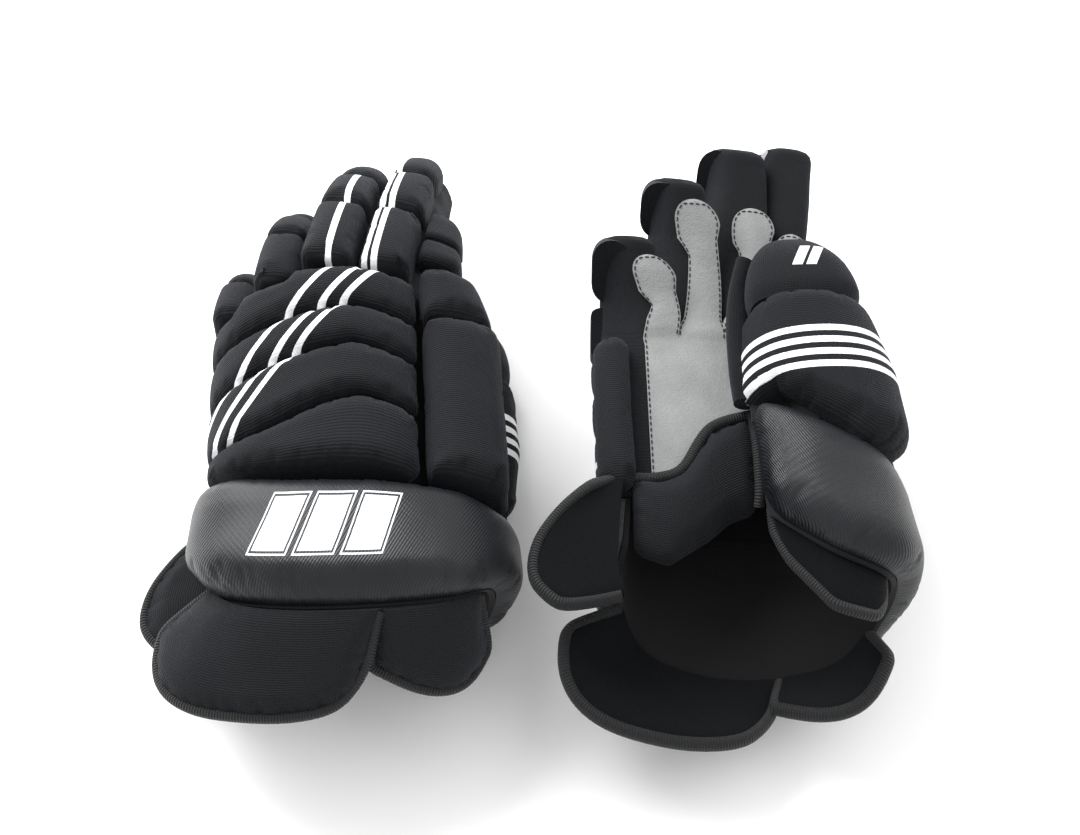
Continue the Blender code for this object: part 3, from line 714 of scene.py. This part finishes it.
FINGERS = {
    "index": Finger((27.5, 111.5, 60), 11, 26, (49, 40, 33), (14, 24, 34), (48, 45, 40, 30),
                    (11.5, 12, 8), (108, 66, 6.0, 8.5)),
    "middle": Finger((-1.0, 116.0, 63), 10, 27, (50, 39, 32), (16, 31, 41), (50, 46, 41, 30),
                     (21, 22, 14), (108, 80, 8.0, 11.5)),
    "ring": Finger((-28.0, 111.5, 54), 6, 23, (42, 34, 28), (18, 38, 50), (46, 42, 37, 28),
                   (24, 24.5, 16), (105, 80, 8.3, 12.0)),
    "little": Finger((-52.0, 103.0, 38), 2, 20, (36, 32), (24, 46), (40, 36, 26),
                     (25.5, 27, 18), (102, 43, 7.3, 11.0)),
}
SEGMENTS = {3: ("base", "middle", "tip"), 2: ("base", "tip")}
PAD_DEPTH = 17.0
PALM_LEVELS = {1: 1.0, 2: -5.0}           # z that the stalls reach down to at their joints
PALM_FRONT = 98.0                         # the tabs start here


def finger_axes(finger):
    lean = math.radians(finger.lean)
    forward = np.array([math.sin(lean), math.cos(lean), 0])
    return forward, np.array([math.cos(lean), -math.sin(lean), 0])


def segment_slope(finger, k):
    """The direction in which a segment runs."""
    forward, _ = finger_axes(finger)
    pitch = math.radians(finger.pitches[k])
    return forward * math.cos(pitch) - np.array([0, 0, math.sin(pitch)])


def finger_frames(finger):
    """At each joint and at the tip: point on the back, up direction, depth, foot."""
    forward, _ = finger_axes(finger)
    point = np.array(finger.knuckle, float)
    pitches = (0.0, *finger.pitches, finger.pitches[-1])
    frames = []
    for k, depth in enumerate(finger.depths):
        mean = math.radians((pitches[k] + pitches[k + 1]) / 2)
        up = forward * math.sin(mean) + np.array([0, 0, math.cos(mean)])
        frames.append((point, up, depth, point - up * depth))
        if k < len(finger.lengths):
            point = point + segment_slope(finger, k) * finger.lengths[k]
    return frames


def finger_bends(name, finger):
    """What the cloth round the knuckle, and the cloth beyond it, ride."""
    base, end = f"{name}_base_segment", f"{name}_end_segments"
    (_, _, _, knuckle), (_, _, _, joint) = finger_frames(finger)[:2]
    slope0, slope1 = segment_slope(finger, 0), segment_slope(finger, 1)
    return (("hand", base, knuckle - slope0 * 8, knuckle + slope0 * 9),
            (base, end, joint - slope1 * 8, joint + slope1 * 8))


def finger_pad(finger, k, seed):
    frames = finger_frames(finger)
    _, across = finger_axes(finger)
    slope = segment_slope(finger, k)
    last = k == len(finger.lengths) - 1
    (_, up0, depth0, foot0), (_, up1, depth1, foot1) = frames[k], frames[k + 1]
    wedge = math.radians(2.0)
    near_up = unit(up0 + slope * math.tan(wedge))
    far_up = unit(up1 - slope * math.tan(wedge)) if not last else up1
    near = foot0 + slope * 0.6 + near_up * depth0
    far = foot1 - slope * 0.6 + far_up * depth1
    if last:
        far = foot1 + slope * 4.5 + far_up * (depth1 - 2)

    def at(u, v):
        v3 = v[..., None]
        up = unit(between(near_up, far_up, v3))
        side = (u[..., None] - 0.5) * finger.width
        bow = 1.3 * np.sin(math.pi * v3) - 2.2 * (2 * u[..., None] - 1) ** 2
        crest = between(near, far, v3) + across * side + up * bow
        deep = PAD_DEPTH + (5 * v3 if last else 0)
        return crest - up * deep, crest
    return pad(at, (9.5, 11) if last else (6, 4.5), power=2.5, rim=0.5, seed=seed)


def finger_path(finger):
    """Rows along the stall's palm side: foot, up, roof height, half widths and shift."""
    frames = finger_frames(finger)
    forward, across = finger_axes(finger)
    count = len(frames)
    shifts = np.interp(np.linspace(0, 1, count), (0, 0.5, 1), finger.shifts)
    x, y, _ = finger.knuckle
    start = np.array([x + forward[0] * (PALM_FRONT - y), PALM_FRONT, -1.0])
    half = finger.width / 2
    neck = finger.tab[3]
    roof0 = frames[0][0][2] - 12
    rows = [[*(start - forward * 14), 0, 0, 1, roof0, half - 2.5, neck + 1, shifts[0]],
            [*start, 0, 0, 1, roof0, half - 2, neck + 2, shifts[0]]]
    for k, (point, up, _, foot) in enumerate(frames[1:], 1):
        low = foot
        if k in PALM_LEVELS and k < count - 1:
            low = foot - up * max(0.0, (foot[2] - PALM_LEVELS[k]) / up[2])
        height = np.dot(point - low, up) - 12
        share = k / (count - 1)
        bottom = (neck + 1.5) * (1 - share) + (half - 2) * share
        rows.append([*low, *up, height, half - 1.0, bottom, shifts[k]])
    dense = smooth_line(rows, 46 if count == 4 else 36)
    dense[:, 3:6] = unit(dense[:, 3:6])
    return dense, across


def stall_rings(finger, seed):
    rows, across = finger_path(finger)
    angle = circle(32)
    wide = squared(np.cos(angle), 0.62)
    high = (squared(np.sin(angle), 0.62) + 1) / 2
    rings = []
    for row in rows:
        foot, up, roof, top, bottom, shift = row[:3], row[3:6], row[6], row[7], row[8], row[9]
        half = between(bottom, top, high) + 1.6 * np.sin(math.pi * high)
        side = wide * half + shift * (1 - high)
        rings.append(foot + across * side[:, None] + up * (high * roof)[:, None])
    slope = segment_slope(finger, len(finger.lengths) - 1)
    last = rings[-1]
    for push, scale in ((3.0, 0.93), (5.0, 0.78), (6.2, 0.5)):
        rings.append(between(last.mean(0), last, scale) + slope * push)
    rings = np.array(rings)
    centres = rings.mean(1, keepdims=True)
    out = unit(rings - centres)
    rings = rings + out * ripple(rings, 17, seed) * (0.15 + 0.85 * high)[None, :, None]
    return rings, between(centres, rings, 0.87), travel(centres[:, 0])


PRINTED = {
    ("index", "base"): "knit_index", ("index", "middle"): "knit_index", ("index", "tip"): "knit_index_tip",
    ("middle", "base"): "knit_middle", ("middle", "middle"): "knit_middle",
}


def add_finger(glove, name, finger, order):
    frames = finger_frames(finger)
    for k, segment in enumerate(SEGMENTS[len(finger.lengths)]):
        material = PRINTED.get((name, segment), "knit")
        rides = f"{name}_end_segments" if k else f"{name}_base_segment"
        glove.add(f"{name}_{segment}_pad", finger_pad(finger, k, 30 + 5 * order + k), material, rides,
                  (f"{name}_{segment}",), fill=0.9)
    rings, inner, along = stall_rings(finger, 60 + order)
    cut = int(np.argmin(np.linalg.norm(rings.mean(1) - (frames[0][3] + frames[1][3]) / 2, axis=1)))
    first, second = finger_bends(name, finger)
    glove.add(f"{name}_stall_base", tube(rings[:cut + 1], along[:cut + 1], inner[:cut + 1], open_end=True),
              "gusset", first)
    glove.add(f"{name}_stall_end", tube(rings[cut:], along[cut:], inner[cut:]), "gusset", second)


GUARD_REACH = ((0, 20), (6, 22), (34, 18), (42, 14))     # along the finger, out from it
GUARD_DROP = ((0, 13), (6, 13), (34, 22), (42, 26))      # along the finger, below its back


def index_guards():
    """Two small pads beside the index finger."""
    finger = FINGERS["index"]
    forward, across = finger_axes(finger)
    start = np.array(finger.knuckle, float) + across * (finger.width / 2 + 1.5) + forward * 15

    def piece(first, last, seed):
        def at(u, v):
            along = between(first, last, v)
            reach, drop = straight(GUARD_REACH, along), straight(GUARD_DROP, along)
            side = (u * reach)[..., None]
            base = start + forward * along[..., None] + across * side
            base[..., 2] -= drop + 8 * u ** 2
            return base - np.array([0, 0, 14.0]), base
        return pad(at, 5, power=2.5, rim=0.45, seed=seed)
    return merge([piece(0, 17.5, 51), piece(18.3, 42, 52)])


# --- the palm leather ---

PALM_BORDERS = (
    ((14, -36), (98, -35)), ((18, -19), (98, -17)), ((40, 4), (98, 8)), ((50, 28), (98, 32)),
    ((50, 42), (98, 46)),
)                                         # (y, x) of the lines between the leather's four fingers
PALM_HEEL = ((-44, 15), (-30, 17), (-20, 22), (-6, 43), (13, 50), (46, 50))
LEATHER = 1.6
TAB_JOIN = 22.0                           # run at which a finger's leather is split for its joints
PALM_ROWS = 22                            # rows of a strip's grid that lie on the palm
SUNK = 0.25                               # the stitches' depth in the leather


def tab_length(finger):
    """Length of the leather tab beyond the palm's front, within its stall."""
    rows, _ = finger_path(finger)
    return min(finger.tab[1], travel(rows[rows[:, 1] >= PALM_FRONT - 0.5, :3])[-1] - 1.0)


def strip_point(order, finger, across_share, run):
    """Point and up direction on the leather at a run beyond the palm's front."""
    rows, across = finger_path(finger)
    rows = rows[rows[:, 1] >= PALM_FRONT - 0.5]
    slit, _, neck, end = finger.tab
    r = np.asarray(run)
    columns = read_off(r, travel(rows[:, :3]), rows)
    foot, up, shift = joined(*columns[:3]), unit(joined(*columns[3:6])), columns[9]
    left, right = (straight(PALM_BORDERS[order + k], PALM_FRONT) for k in (0, 1))
    root = (right - left) / 2
    length = tab_length(finger)
    opened = slit - PALM_FRONT
    stations = (0, opened, opened + 7, length - 2.3 * end, length - 1.7 * end, length - end)
    left_half = np.interp(r, stations, (root, root, neck + 1.5, neck - 1.5, end, end))
    right_half = np.interp(r, stations, (root, root, neck + 1.5, neck + 1, neck + 1, end))
    a = 2 * across_share - 1
    width = np.where(a < 0, left_half, right_half)
    tip = np.clip((r - (length - end)) / end, 0, 1)
    width = width * np.sqrt(np.clip(1 - tip ** 2, 0.0, 1))
    centre = foot + across * shift[..., None]
    puff = 1.6 * np.clip((r - length * 0.55) / (length * 0.3), 0, 1) * (1 - a ** 2)
    bowed = 1.8 * np.clip(r / 20, 0, 1) * a ** 2
    curl = 2.5 * np.clip((r - length * 0.6) / (length * 0.4), 0, 1) * np.abs(a) ** 3
    lift = 1.5 * np.clip(r / 6, 0, 1)
    point = centre + across * (a * width)[..., None] - up * (0.7 + lift + puff - bowed + curl)[..., None]
    return point, up


def leather_strip(order, finger, run_from, run_to):
    """The leather from its heel, or from a run beyond the palm's front, to another run."""
    u_line = np.concatenate([[0, 0.02, 0.05, 0.1], np.linspace(0.16, 0.84, 9), [0.9, 0.95, 0.98, 1]])
    length = tab_length(finger)
    if run_from < 0:
        v_line = np.concatenate([np.linspace(-1, 0, PALM_ROWS), np.linspace(0, run_to, 14)[1:]])
    else:
        v_line = np.concatenate([np.linspace(run_from, length * 0.85, 12),
                                 length - length * 0.15 * (1 - np.sin(np.linspace(0, math.pi / 2, 9))[1:])])
    u, v = np.meshgrid(u_line, v_line, indexing="ij")
    point, up = strip_point(order, finger, u, np.clip(v, 0, None))
    if run_from < 0:
        flat = (v < 0)[..., None]
        y_share = 1 + v
        y = between(20, PALM_FRONT, y_share)
        for _ in range(3):
            left, right = (straight(PALM_BORDERS[order + k], y) for k in (0, 1))
            x = between(left, right, u)
            y = between(straight(PALM_HEEL, x), PALM_FRONT, y_share)
        palm = joined(x, y, np.full_like(x, -1.7))
        point = np.where(flat, palm, point)
        up = np.where(flat, np.array([0, 0, 1.0]), up)
    cloth = joined(u * 24, v)
    return closed_sheet(point, point + up * LEATHER, cloth), point, up


def inside_edge(grid):
    """A little inside the edges of a tab's grid: up one side, round the end, down the other."""
    return np.vstack([grid[2, :-3], grid[3:-3, -4], grid[-3, :-3][::-1]])


def add_leather(glove):
    for order, name in enumerate(("little", "ring", "middle", "index")):
        finger = FINGERS[name]
        first, second = finger_bends(name, finger)
        shape, point, up = leather_strip(order, finger, -1, TAB_JOIN)
        stands_for = ("palm",) if name == "middle" else ()
        glove.add(f"{name}_palm_leather", shape, "leather", first, stands_for, crease=40)
        beyond_palm, heel = slice(PALM_ROWS, None), slice(None) if order else slice(1, None)
        seams = [(2, beyond_palm if order else slice(None))]
        if order < 3:
            seams.append((-3, beyond_palm))
        seams.append((heel, 1))
        threads = merge([stitches(point[seam] - up[seam] * SUNK, up[seam]) for seam in seams])
        glove.add(f"{name}_palm_stitches", threads, "thread", first)
        shape, point, up = leather_strip(order, finger, TAB_JOIN, tab_length(finger))
        glove.add(f"{name}_tab", shape, "leather", second, crease=40)
        path, normal = inside_edge(point), inside_edge(up)
        glove.add(f"{name}_tab_stitches", stitches(path - normal * SUNK, normal), "thread", second)


# --- the thumb ---

THUMB_PAD = (
    # y share, left x, right x, lowest z
    (0.0, 10, 86, -40), (0.12, 9, 87, -42.6), (0.5, 10, 85, -43), (0.88, 13, 77, -42.6), (1.0, 15, 74, -40),
)
THUMB_TIP = (
    # y, left x, right x, palm-side z, far z
    (96, 17, 71, -6, -38), (102, 15.5, 72.5, -5, -40.5), (109, 15.5, 71, -5.5, -41),
    (117, 17, 67.5, -7, -40.5),
    (124, 20, 62, -10, -38.5), (130, 24.5, 56, -13.5, -35), (134.5, 30, 50, -18, -30),
)


def seam_y(x):
    """Where the thumb pad meets the cuff."""
    return 49 - 0.6 * (x - 12)


def thumb_pad():
    table = np.array(THUMB_PAD, float)

    def at(u, v):
        left, right, low = read_off(v, table[:, 0], table[:, 1:])
        angle = math.pi * (1 - u)
        x = (left + right) / 2 + (right - left) / 2 * squared(np.cos(angle), 0.85)
        depth = np.sin(angle) ** 0.62
        z = -4 + (low + 4) * depth
        rear = np.clip(seam_y(x) + 1.5, 17.0, 46.0)
        front = 100.2 - 4 * (2 * u - 1) ** 2
        y = between(rear, front, v)
        crest = joined(x, y, z)
        centre = joined((left + right) / 2, y, np.full_like(x, -12))
        return between(centre, crest, 0.55), crest
    return pad(at, (5, 9), power=2.2, rim=0.12, seed=71)


def thumb_ring(row, around, power, inset=0.0):
    """A rounded box across the thumb; row is y, left x, right x, palm-side z and far z."""
    y, left, right, top, low = row
    wide, high = squared(np.cos(circle(around)), power), squared(np.sin(circle(around)), power)
    return np.stack([(left + right) / 2 + ((right - left) / 2 - inset) * wide, np.full_like(wide, y),
                     (top + low) / 2 + ((top - low) / 2 - inset) * high], 1)


def thumb_tip():
    rings = [thumb_ring(row, 44, 0.72) for row in smooth_line(THUMB_TIP, 26)]
    last = rings[-1]
    for push, scale in ((1.4, 0.72), (2.0, 0.38)):
        rings.append(between(last.mean(0), last, scale) + (0, push, 0))
    rings = np.array(rings)
    centres = rings.mean(1, keepdims=True)
    rings = rings + unit(rings - centres) * ripple(rings, 28, 72) * 0.35
    return tube(rings, rings[:, :, 1].mean(1), between(centres, rings, 0.8))


def turned(shape, degrees):
    """A thumb shape turned about the thumb's hinge."""
    turn = math.radians(degrees)
    spin = np.array([[math.cos(turn), -math.sin(turn), 0], [math.sin(turn), math.cos(turn), 0], [0, 0, 1]])
    hinge = np.array(THUMB_HINGE)
    return Shape(hinge + (shape.points - hinge) @ spin.T, shape.faces, shape.cloth, shape.points, shape.held)


# y, left x, right x, palm-side z, far z
THUMB_STALL = ((33, 31.5, 73, -3.5, -29.3), (66, 28.5, 66, -4.3, -31), (97, 26, 60, -5, -33))


def thumb_stall():
    rows = smooth_line(THUMB_STALL, 10)
    outer, inner = ([thumb_ring(row, 28, 0.6, inset) for row in rows] for inset in (0.4, 2.4))
    return tube(outer, np.linspace(THUMB_STALL[0][0], THUMB_STALL[-1][0], 10), inner, open_end=True)


def thumb_band():
    """Ribbed gusset band along the thumb's inner side."""
    path = smooth_line(((11, 51, -13), (10, 66, -15), (11, 92, -15), (14, 112, -16), (19, 128, -20)), 60)
    return cord_tube(path, np.tile((-0.6, 0, -0.8), (60, 1)), 5.0, 7.5, around=16)


def thumb_outer_cloth():
    """Cloth between the thumb pad and the side pads."""
    v, u = shares(40, 12)
    y = 2 + 114 * v
    top = np.interp(y, (2, 84, 116), (78, 77, 66))
    low = np.interp(y, (2, 90, 116), (82, 70, 58))
    x = between(top, low, u) - 3.5 * np.sin(math.pi * u)
    z = 15 - 26 * u
    outer = joined(x, y, z)
    return closed_sheet(outer, outer - (1.5, 0, 0), joined(y, u * 26))


def seam_cloth():
    """Cloth under the seam between the thumb and the cuff."""
    u, v = shares(24, 8)
    x = 13 + 60 * u
    y = seam_y(x) + 9 - 18 * v
    z = -14 - 9 * np.sin(math.pi * np.clip(u * 0.9 + 0.1, 0, 1))
    outer = joined(x, y, z)
    return closed_sheet(outer, outer + (0, 0, 1.5), joined(x, y))


# --- the cuff ---

CUFF_SECTION = (
    (-50, 0), (-52, 18), (-40, 35), (-12, 44), (20, 45), (50, 38),
    (67, 20), (69, -2), (60, -20), (38, -27), (14, -22),
)
CUFF_REAR = (-14, -30, -48, -58, -60, -55, -42, -38, -40, -32, -10)
CUFF_CENTRE = (8, 8)
CUFF_FLARE = 0.0022
CUFF_THICK = 15.0
CUFF_CROWN = ((0, 0.9), (0.3, 1.0), (0.7, 0.95), (1, 0.84))


def cuff_table():
    """Rows round the cuff: x, z, rear y, normal x, normal z, front y."""
    rows = smooth_line([(x, z, rear) for (x, z), rear in zip(CUFF_SECTION, CUFF_REAR)], 241)
    x, z = rows[:, 0], rows[:, 1]
    palm_side = (z < 0) & (x > 0)
    front = np.where(palm_side, np.minimum(seam_y(x) - 0.5, 42.0), through(WRIST_LINE, x) - 1.0)
    kernel = np.hanning(23) / np.hanning(23).sum()
    front = np.convolve(np.pad(front, 11, mode="edge"), kernel, "valid")
    return np.hstack([rows, outward(rows), front[:, None]])


CUFF = cuff_table()


def cuff_at(share, y_share):
    """Place on the cuff's liner and outward normal, for shares round it and down it."""
    x, z, rear, nx, nz, front = at_share(share, CUFF)
    y = between(front, rear, y_share)
    grow = 1 - CUFF_FLARE * y
    point = joined(between(CUFF_CENTRE[0], x, grow), y, between(CUFF_CENTRE[1], z, grow))
    return point, joined(nx, np.zeros_like(nx), nz)


def cuff_roll():
    def at(u, v):
        point, normal = cuff_at(u, v)
        thick = (CUFF_THICK * straight(CUFF_CROWN, v))[..., None]
        return point + normal * 0.5, point + normal * thick
    return pad(at, (11, 10), power=2.3, rim=0.1, wrinkle=0.5, step=2.2, seed=81)


def cuff_liner():
    u, v = shares(120, 16, 1.02)
    point, normal = cuff_at(u, v)
    inner = point - normal * (2.5 + ripple(point, 30, 82) * 0.5)
    return closed_sheet(point, inner, joined(u * 300, v * 50))


def wrist_cloth():
    """Cloth that joins the hand to the cuff under the groove between them."""
    u, v = shares(80, 10)
    x, z, _, _ = section_at(SKIN_SECTION, u)
    hand = joined(x, through(WRIST_LINE, x) + 8, z - 0.5)
    cuff, normal = cuff_at(u * 0.64, np.full_like(u, 0.14))
    point = between(hand, cuff, v[..., None]) - normal * 0.8
    return closed_sheet(point, point - normal * 1.2, joined(u * 200, v * 16))


# outline of a flap: share round the cuff at the root, sideways spread at the tip, length
BACK_FLAP = (
    (0.085, -24, 14), (0.13, -30, 29), (0.195, -29, 38), (0.265, -23, 41), (0.335, -16, 41),
    (0.385, -11, 36), (0.42, -8, 21),
)
THUMB_FLAP = ((0.418, -8, 19), (0.485, -6, 30), (0.53, -4, 33), (0.57, -2, 30), (0.605, 1, 19))
# y, x of the root, length
LITTLE_FLAP = ((18, -52, 12), (6, -55, 24), (-12, -57, 35), (-30, -58, 36), (-43, -56, 26))


def flap_middle(outline, droop, u, v, tuck=0.0):
    """Middle surface of a tongue that starts on the cuff's rim; tuck slips its tip under its neighbour."""
    rows = smooth_line([(100 * share, spread, length) for share, spread, length in outline], 80)
    share, spread, length = at_share(u, rows)
    rim, normal = cuff_at(share / 100, np.ones_like(u))
    run = length * v - 2.0 * (1 - v)
    lift = rim + joined(spread * v, -3.0 - run * math.cos(droop), -run * math.sin(droop))
    return lift - normal * 2.5 * (1 - v)[..., None] - np.array([0, 0, 2.5 + tuck]) * v[..., None]


def facing_middle(u, v):
    """Lining pad that shows below the cuff's palm-side edge."""
    rim, normal = cuff_at(0.775 + 0.22 * u, np.ones_like(u))
    length = straight(((0, 8), (0.2, 20), (0.6, 24), (0.9, 16), (1, 6)), u)
    run = length * v - 5.0 * (1 - v)
    return rim - normal * (5.5 + 1.5 * v)[..., None] + joined(0 * u, -run, 0 * u)


def side_flap_middle(u, v):
    y, root, length = at_share(u, smooth_line(LITTLE_FLAP, 80))
    x = root + 3 - (length + 3) * v
    return joined(x, y - 6 * v, -7.5 - 3 * v + 1.5 * np.sin(math.pi * v))


def flap(middle, seed, thick=3.6):
    """A stuffed tongue and the path round its free edge, with normals."""
    def across(u, v):
        step = 0.01
        du = middle(np.clip(u + step, 0, 1), v) - middle(np.clip(u - step, 0, 1), v)
        dv = middle(u, np.clip(v + step, 0, 1)) - middle(u, np.clip(v - step, 0, 1))
        return unit(np.cross(du, dv))

    centre = np.full(1, 0.5)
    side = 1.0 if across(centre, centre)[0, 2] > 0 else -1.0

    def at(u, v):
        return middle(u, v), middle(u, v) + across(u, v) * side * thick

    body = pad(at, (7, 9), power=2.2, rim=0.25, square=("v0",), under=0.85, wrinkle=0.5, seed=seed)
    inset = 0.008
    down = np.linspace(0.04, 1, 16)
    along = np.linspace(inset, 1 - inset, 90)[1:-1]
    u_path = np.concatenate([np.full(16, inset), along, np.full(16, 1 - inset)])
    v_path = np.concatenate([down, np.ones(88), down[::-1]])
    edge = middle(u_path, v_path)
    for _ in range(12):
        edge[1:-1] = (edge[:-2] + 2 * edge[1:-1] + edge[2:]) / 4
    return body, even_path(np.hstack([edge, across(u_path, v_path) * side]), 1.2)


def add_flap(glove, name, middle, seed):
    """A bound flap whose root lies on the cuff."""
    body, edge = flap(middle, seed)
    root = middle(np.array([0.15, 0.5, 0.85]), np.zeros(3))
    along = unit(root[2] - root[0])
    out = middle(np.array([0.5]), np.array([0.3]))[0] - root[1]
    out = unit(out - along * out.dot(along))
    bend = ("cuff", name, root[1], root[1] + out * 14)
    # the palm-up glove shows its flaps' inner sides, so they take the knit darkened as painted shade
    glove.add(f"{name}_cloth", body, "facing" if glove.side < 0 else "knit", bend, (name,), fill=0.5)
    glove.add(f"{name}_binding", cord_tube(edge[:, :3], edge[:, 3:], 2.7, 3.3, around=12), "binding", bend)


# --- assembly ---

def build(glove):
    """Makes every piece of a glove."""
    add = glove.add
    add("hand_skin", hand_skin(), "lining", "hand", ("hand_liner",))
    add("side_cloth", side_cloth(), "gusset", "hand")
    for number in range(1, 5):
        add(f"roll_{number}", knuckle_roll(number), "knit_roll" if number < 4 else "knit", "hand",
            (f"knuckle_roll_{number}",), fill=0.85)
    block = side_pad_shape(rear=(1.0, -2.5), front=(85.3, 85.3), reach=(84, 83.5), seed=91)
    wedge = side_pad_shape(rear=(86.0, 86.0), front=(117, 111), reach=(82, 74), seed=92)
    add("side_block_pad", block, "knit", "hand", ("side_block",), fill=0.95)
    add("side_wedge_pad", wedge, "knit", "hand", ("side_wedge",), fill=0.9)
    add("little_edge_pad", little_side_pad(), "knit", "hand", ("little_side_pad",), fill=0.8)
    add("strap_panel", heel_strap(), "knit", "hand", ("heel_strap",), fill=0.6)
    add("strap_piping", strap_pipings(), "binding", "hand")

    for order, (name, finger) in enumerate(FINGERS.items()):
        add_finger(glove, name, finger, order)
    add("index_guard_pads", index_guards(), "knit", "index_base_segment", ("index_side_guard",), fill=0.9)
    add_leather(glove)

    turn = THUMB_TURN[glove.name]
    bend = ("hand", "thumb", (48, 18, -20), (48, 52, -20))
    outer_bend = ("hand", "thumb", (82, 40, 12), (78, 40, -8))
    add("thumb_long_pad", turned(thumb_pad(), turn), "knit_thumb", bend, ("thumb_pad",), fill=0.9)
    add("thumb_cap", turned(thumb_tip(), turn), "knit_cap", "thumb_end", ("thumb_tip",), fill=0.9)
    add("thumb_tube", turned(thumb_stall(), turn), "lining", "thumb", ("thumb_stall",))
    add("thumb_band", turned(thumb_band(), turn), "gusset", bend)
    add("thumb_outer_cloth", thumb_outer_cloth(), "gusset", outer_bend)
    add("seam_cloth", seam_cloth(), "lining", "hand")

    wrist = ("hand", "cuff", (0, 3, 0), (0, -26, 0))
    add("cuff_band", cuff_roll(), "twill_marked", wrist, ("cuff_roll",), fill=0.8)
    add("cuff_lining", cuff_liner(), "lining", "cuff", ("cuff_liner",))
    add("wrist_cloth", wrist_cloth(), "lining", ("hand", "cuff", (0, 9, 20), (0, -4, 20)))
    add_flap(glove, "back_flap", lambda u, v: flap_middle(BACK_FLAP, glove.droop, u, v), 101)
    add_flap(glove, "thumb_side_flap", lambda u, v: flap_middle(THUMB_FLAP, glove.droop, u, v, 5.0), 102)
    add_flap(glove, "little_side_flap", side_flap_middle, 103)
    body, edge = flap(facing_middle, 104, thick=3.0)
    # the facing pad takes the knit darkened as painted shade
    add("facing_cloth", body, "facing", "cuff", fill=0.6)
    add("facing_binding", cord_tube(edge[:, :3], edge[:, 3:], 2.6, 3.0, around=12), "binding", "cuff")


# --- cloth simulation of the covers ---

COVER_PRESSURE = 3000.0                   # newtons per square metre
COVER_SLACK = 0.02                        # the cover is cut this much larger than its foam
COVER_FRAMES = 14
MOST_SWELL = 2.0                          # millimetres


def points_of(piece):
    points = np.empty(len(piece.data.vertices) * 3, np.float32)
    piece.data.vertices.foreach_get("co", points)
    return points.reshape(-1, 3)


def settle_covers(covers):
    """Cloth simulation: the covers, sewn down at the foot of their pads, swell over the foam."""
    scene = bpy.context.scene
    before = [points_of(piece) for piece, _ in covers]
    for piece, held in covers:
        piece.vertex_groups.new(name="sewn").add(held.tolist(), 1.0, "REPLACE")
        cloth = piece.modifiers.new("cover", "CLOTH")
        settings = cloth.settings
        settings.quality = 4
        settings.mass = 0.05
        settings.tension_stiffness = settings.compression_stiffness = 25
        settings.bending_stiffness = 0.3
        settings.air_damping = 4
        settings.use_pressure = True
        settings.uniform_pressure_force = COVER_PRESSURE
        settings.vertex_group_mass = "sewn"
        settings.shrink_min = -COVER_SLACK
        settings.effector_weights.gravity = 0
        cloth.point_cache.frame_end = COVER_FRAMES
    for number in range(1, COVER_FRAMES + 1):
        scene.frame_set(number)
    graph = bpy.context.evaluated_depsgraph_get()
    for (piece, _), points in zip(covers, before):
        move = points_of(piece.evaluated_get(graph)) - points
        far = np.linalg.norm(move, axis=1, keepdims=True)
        move *= np.minimum(1, MOST_SWELL * MM / np.maximum(far, 1e-9))
        piece.modifiers.clear()
        piece.vertex_groups.clear()
        piece.data.vertices.foreach_set("co", (points + move).ravel())
        piece.data.update()
    scene.frame_set(1)


gloves = [Glove("left"), Glove("right")]
for glove in gloves:
    build(glove)
settle_covers([cover for glove in gloves for cover in glove.covers])
for glove in gloves:
    glove.attach()


# --- floor, light and camera ---

def add_floor():
    mesh = bpy.data.meshes.new("floor")
    half = 3.0
    corners = [(-half, -half, 0), (half, -half, 0), (half, half, 0), (-half, half, 0)]
    mesh.from_pydata(corners, [], [(0, 1, 2, 3)])
    floor = bpy.data.objects.new("floor", mesh)
    bpy.context.scene.collection.objects.link(floor)
    floor.location.z = -0.0006
    material = bpy.data.materials.new("floor")
    material.use_nodes = True
    surface = material.node_tree.nodes["Principled BSDF"]
    surface.inputs["Base Color"].default_value = (0.97, 0.97, 0.97, 1)
    surface.inputs["Roughness"].default_value = 0.7
    mesh.materials.append(material)


TARGET = Vector((0.006, 0.0025, 0.04))    # what the camera looks at
CAMERA_DISTANCE = 0.73
CAMERA_ELEVATION = 57                     # degrees above the floor


def add_light(name, place, size, power):
    data = bpy.data.lights.new(name, "AREA")
    data.energy = power
    data.size = size
    light = bpy.data.objects.new(name, data)
    light.location = place
    light.rotation_euler = (Vector((0, 0, 0.04)) - Vector(place)).to_track_quat("-Z", "Y").to_euler()
    bpy.context.scene.collection.objects.link(light)


def add_camera():
    elevation = math.radians(CAMERA_ELEVATION)
    data = bpy.data.cameras.new("camera")
    data.lens = 50
    data.sensor_width = 36
    camera = bpy.data.objects.new("camera", data)
    toward = Vector((0, math.cos(elevation), -math.sin(elevation)))
    camera.location = TARGET - toward * CAMERA_DISTANCE
    camera.rotation_euler = toward.to_track_quat("-Z", "Y").to_euler()
    bpy.context.scene.collection.objects.link(camera)
    bpy.context.scene.camera = camera


add_floor()
add_light("key", (-0.6, 0.65, 0.85), 0.9, 27)
add_light("fill", (0.8, 0.3, 1.0), 1.3, 6)
world = bpy.data.worlds.new("world")
bpy.context.scene.world = world
world.use_nodes = True
world.node_tree.nodes["Background"].inputs["Color"].default_value = (1, 1, 1, 1)
world.node_tree.nodes["Background"].inputs["Strength"].default_value = 1.0
bpy.context.scene.view_settings.view_transform = "Standard"
add_camera()
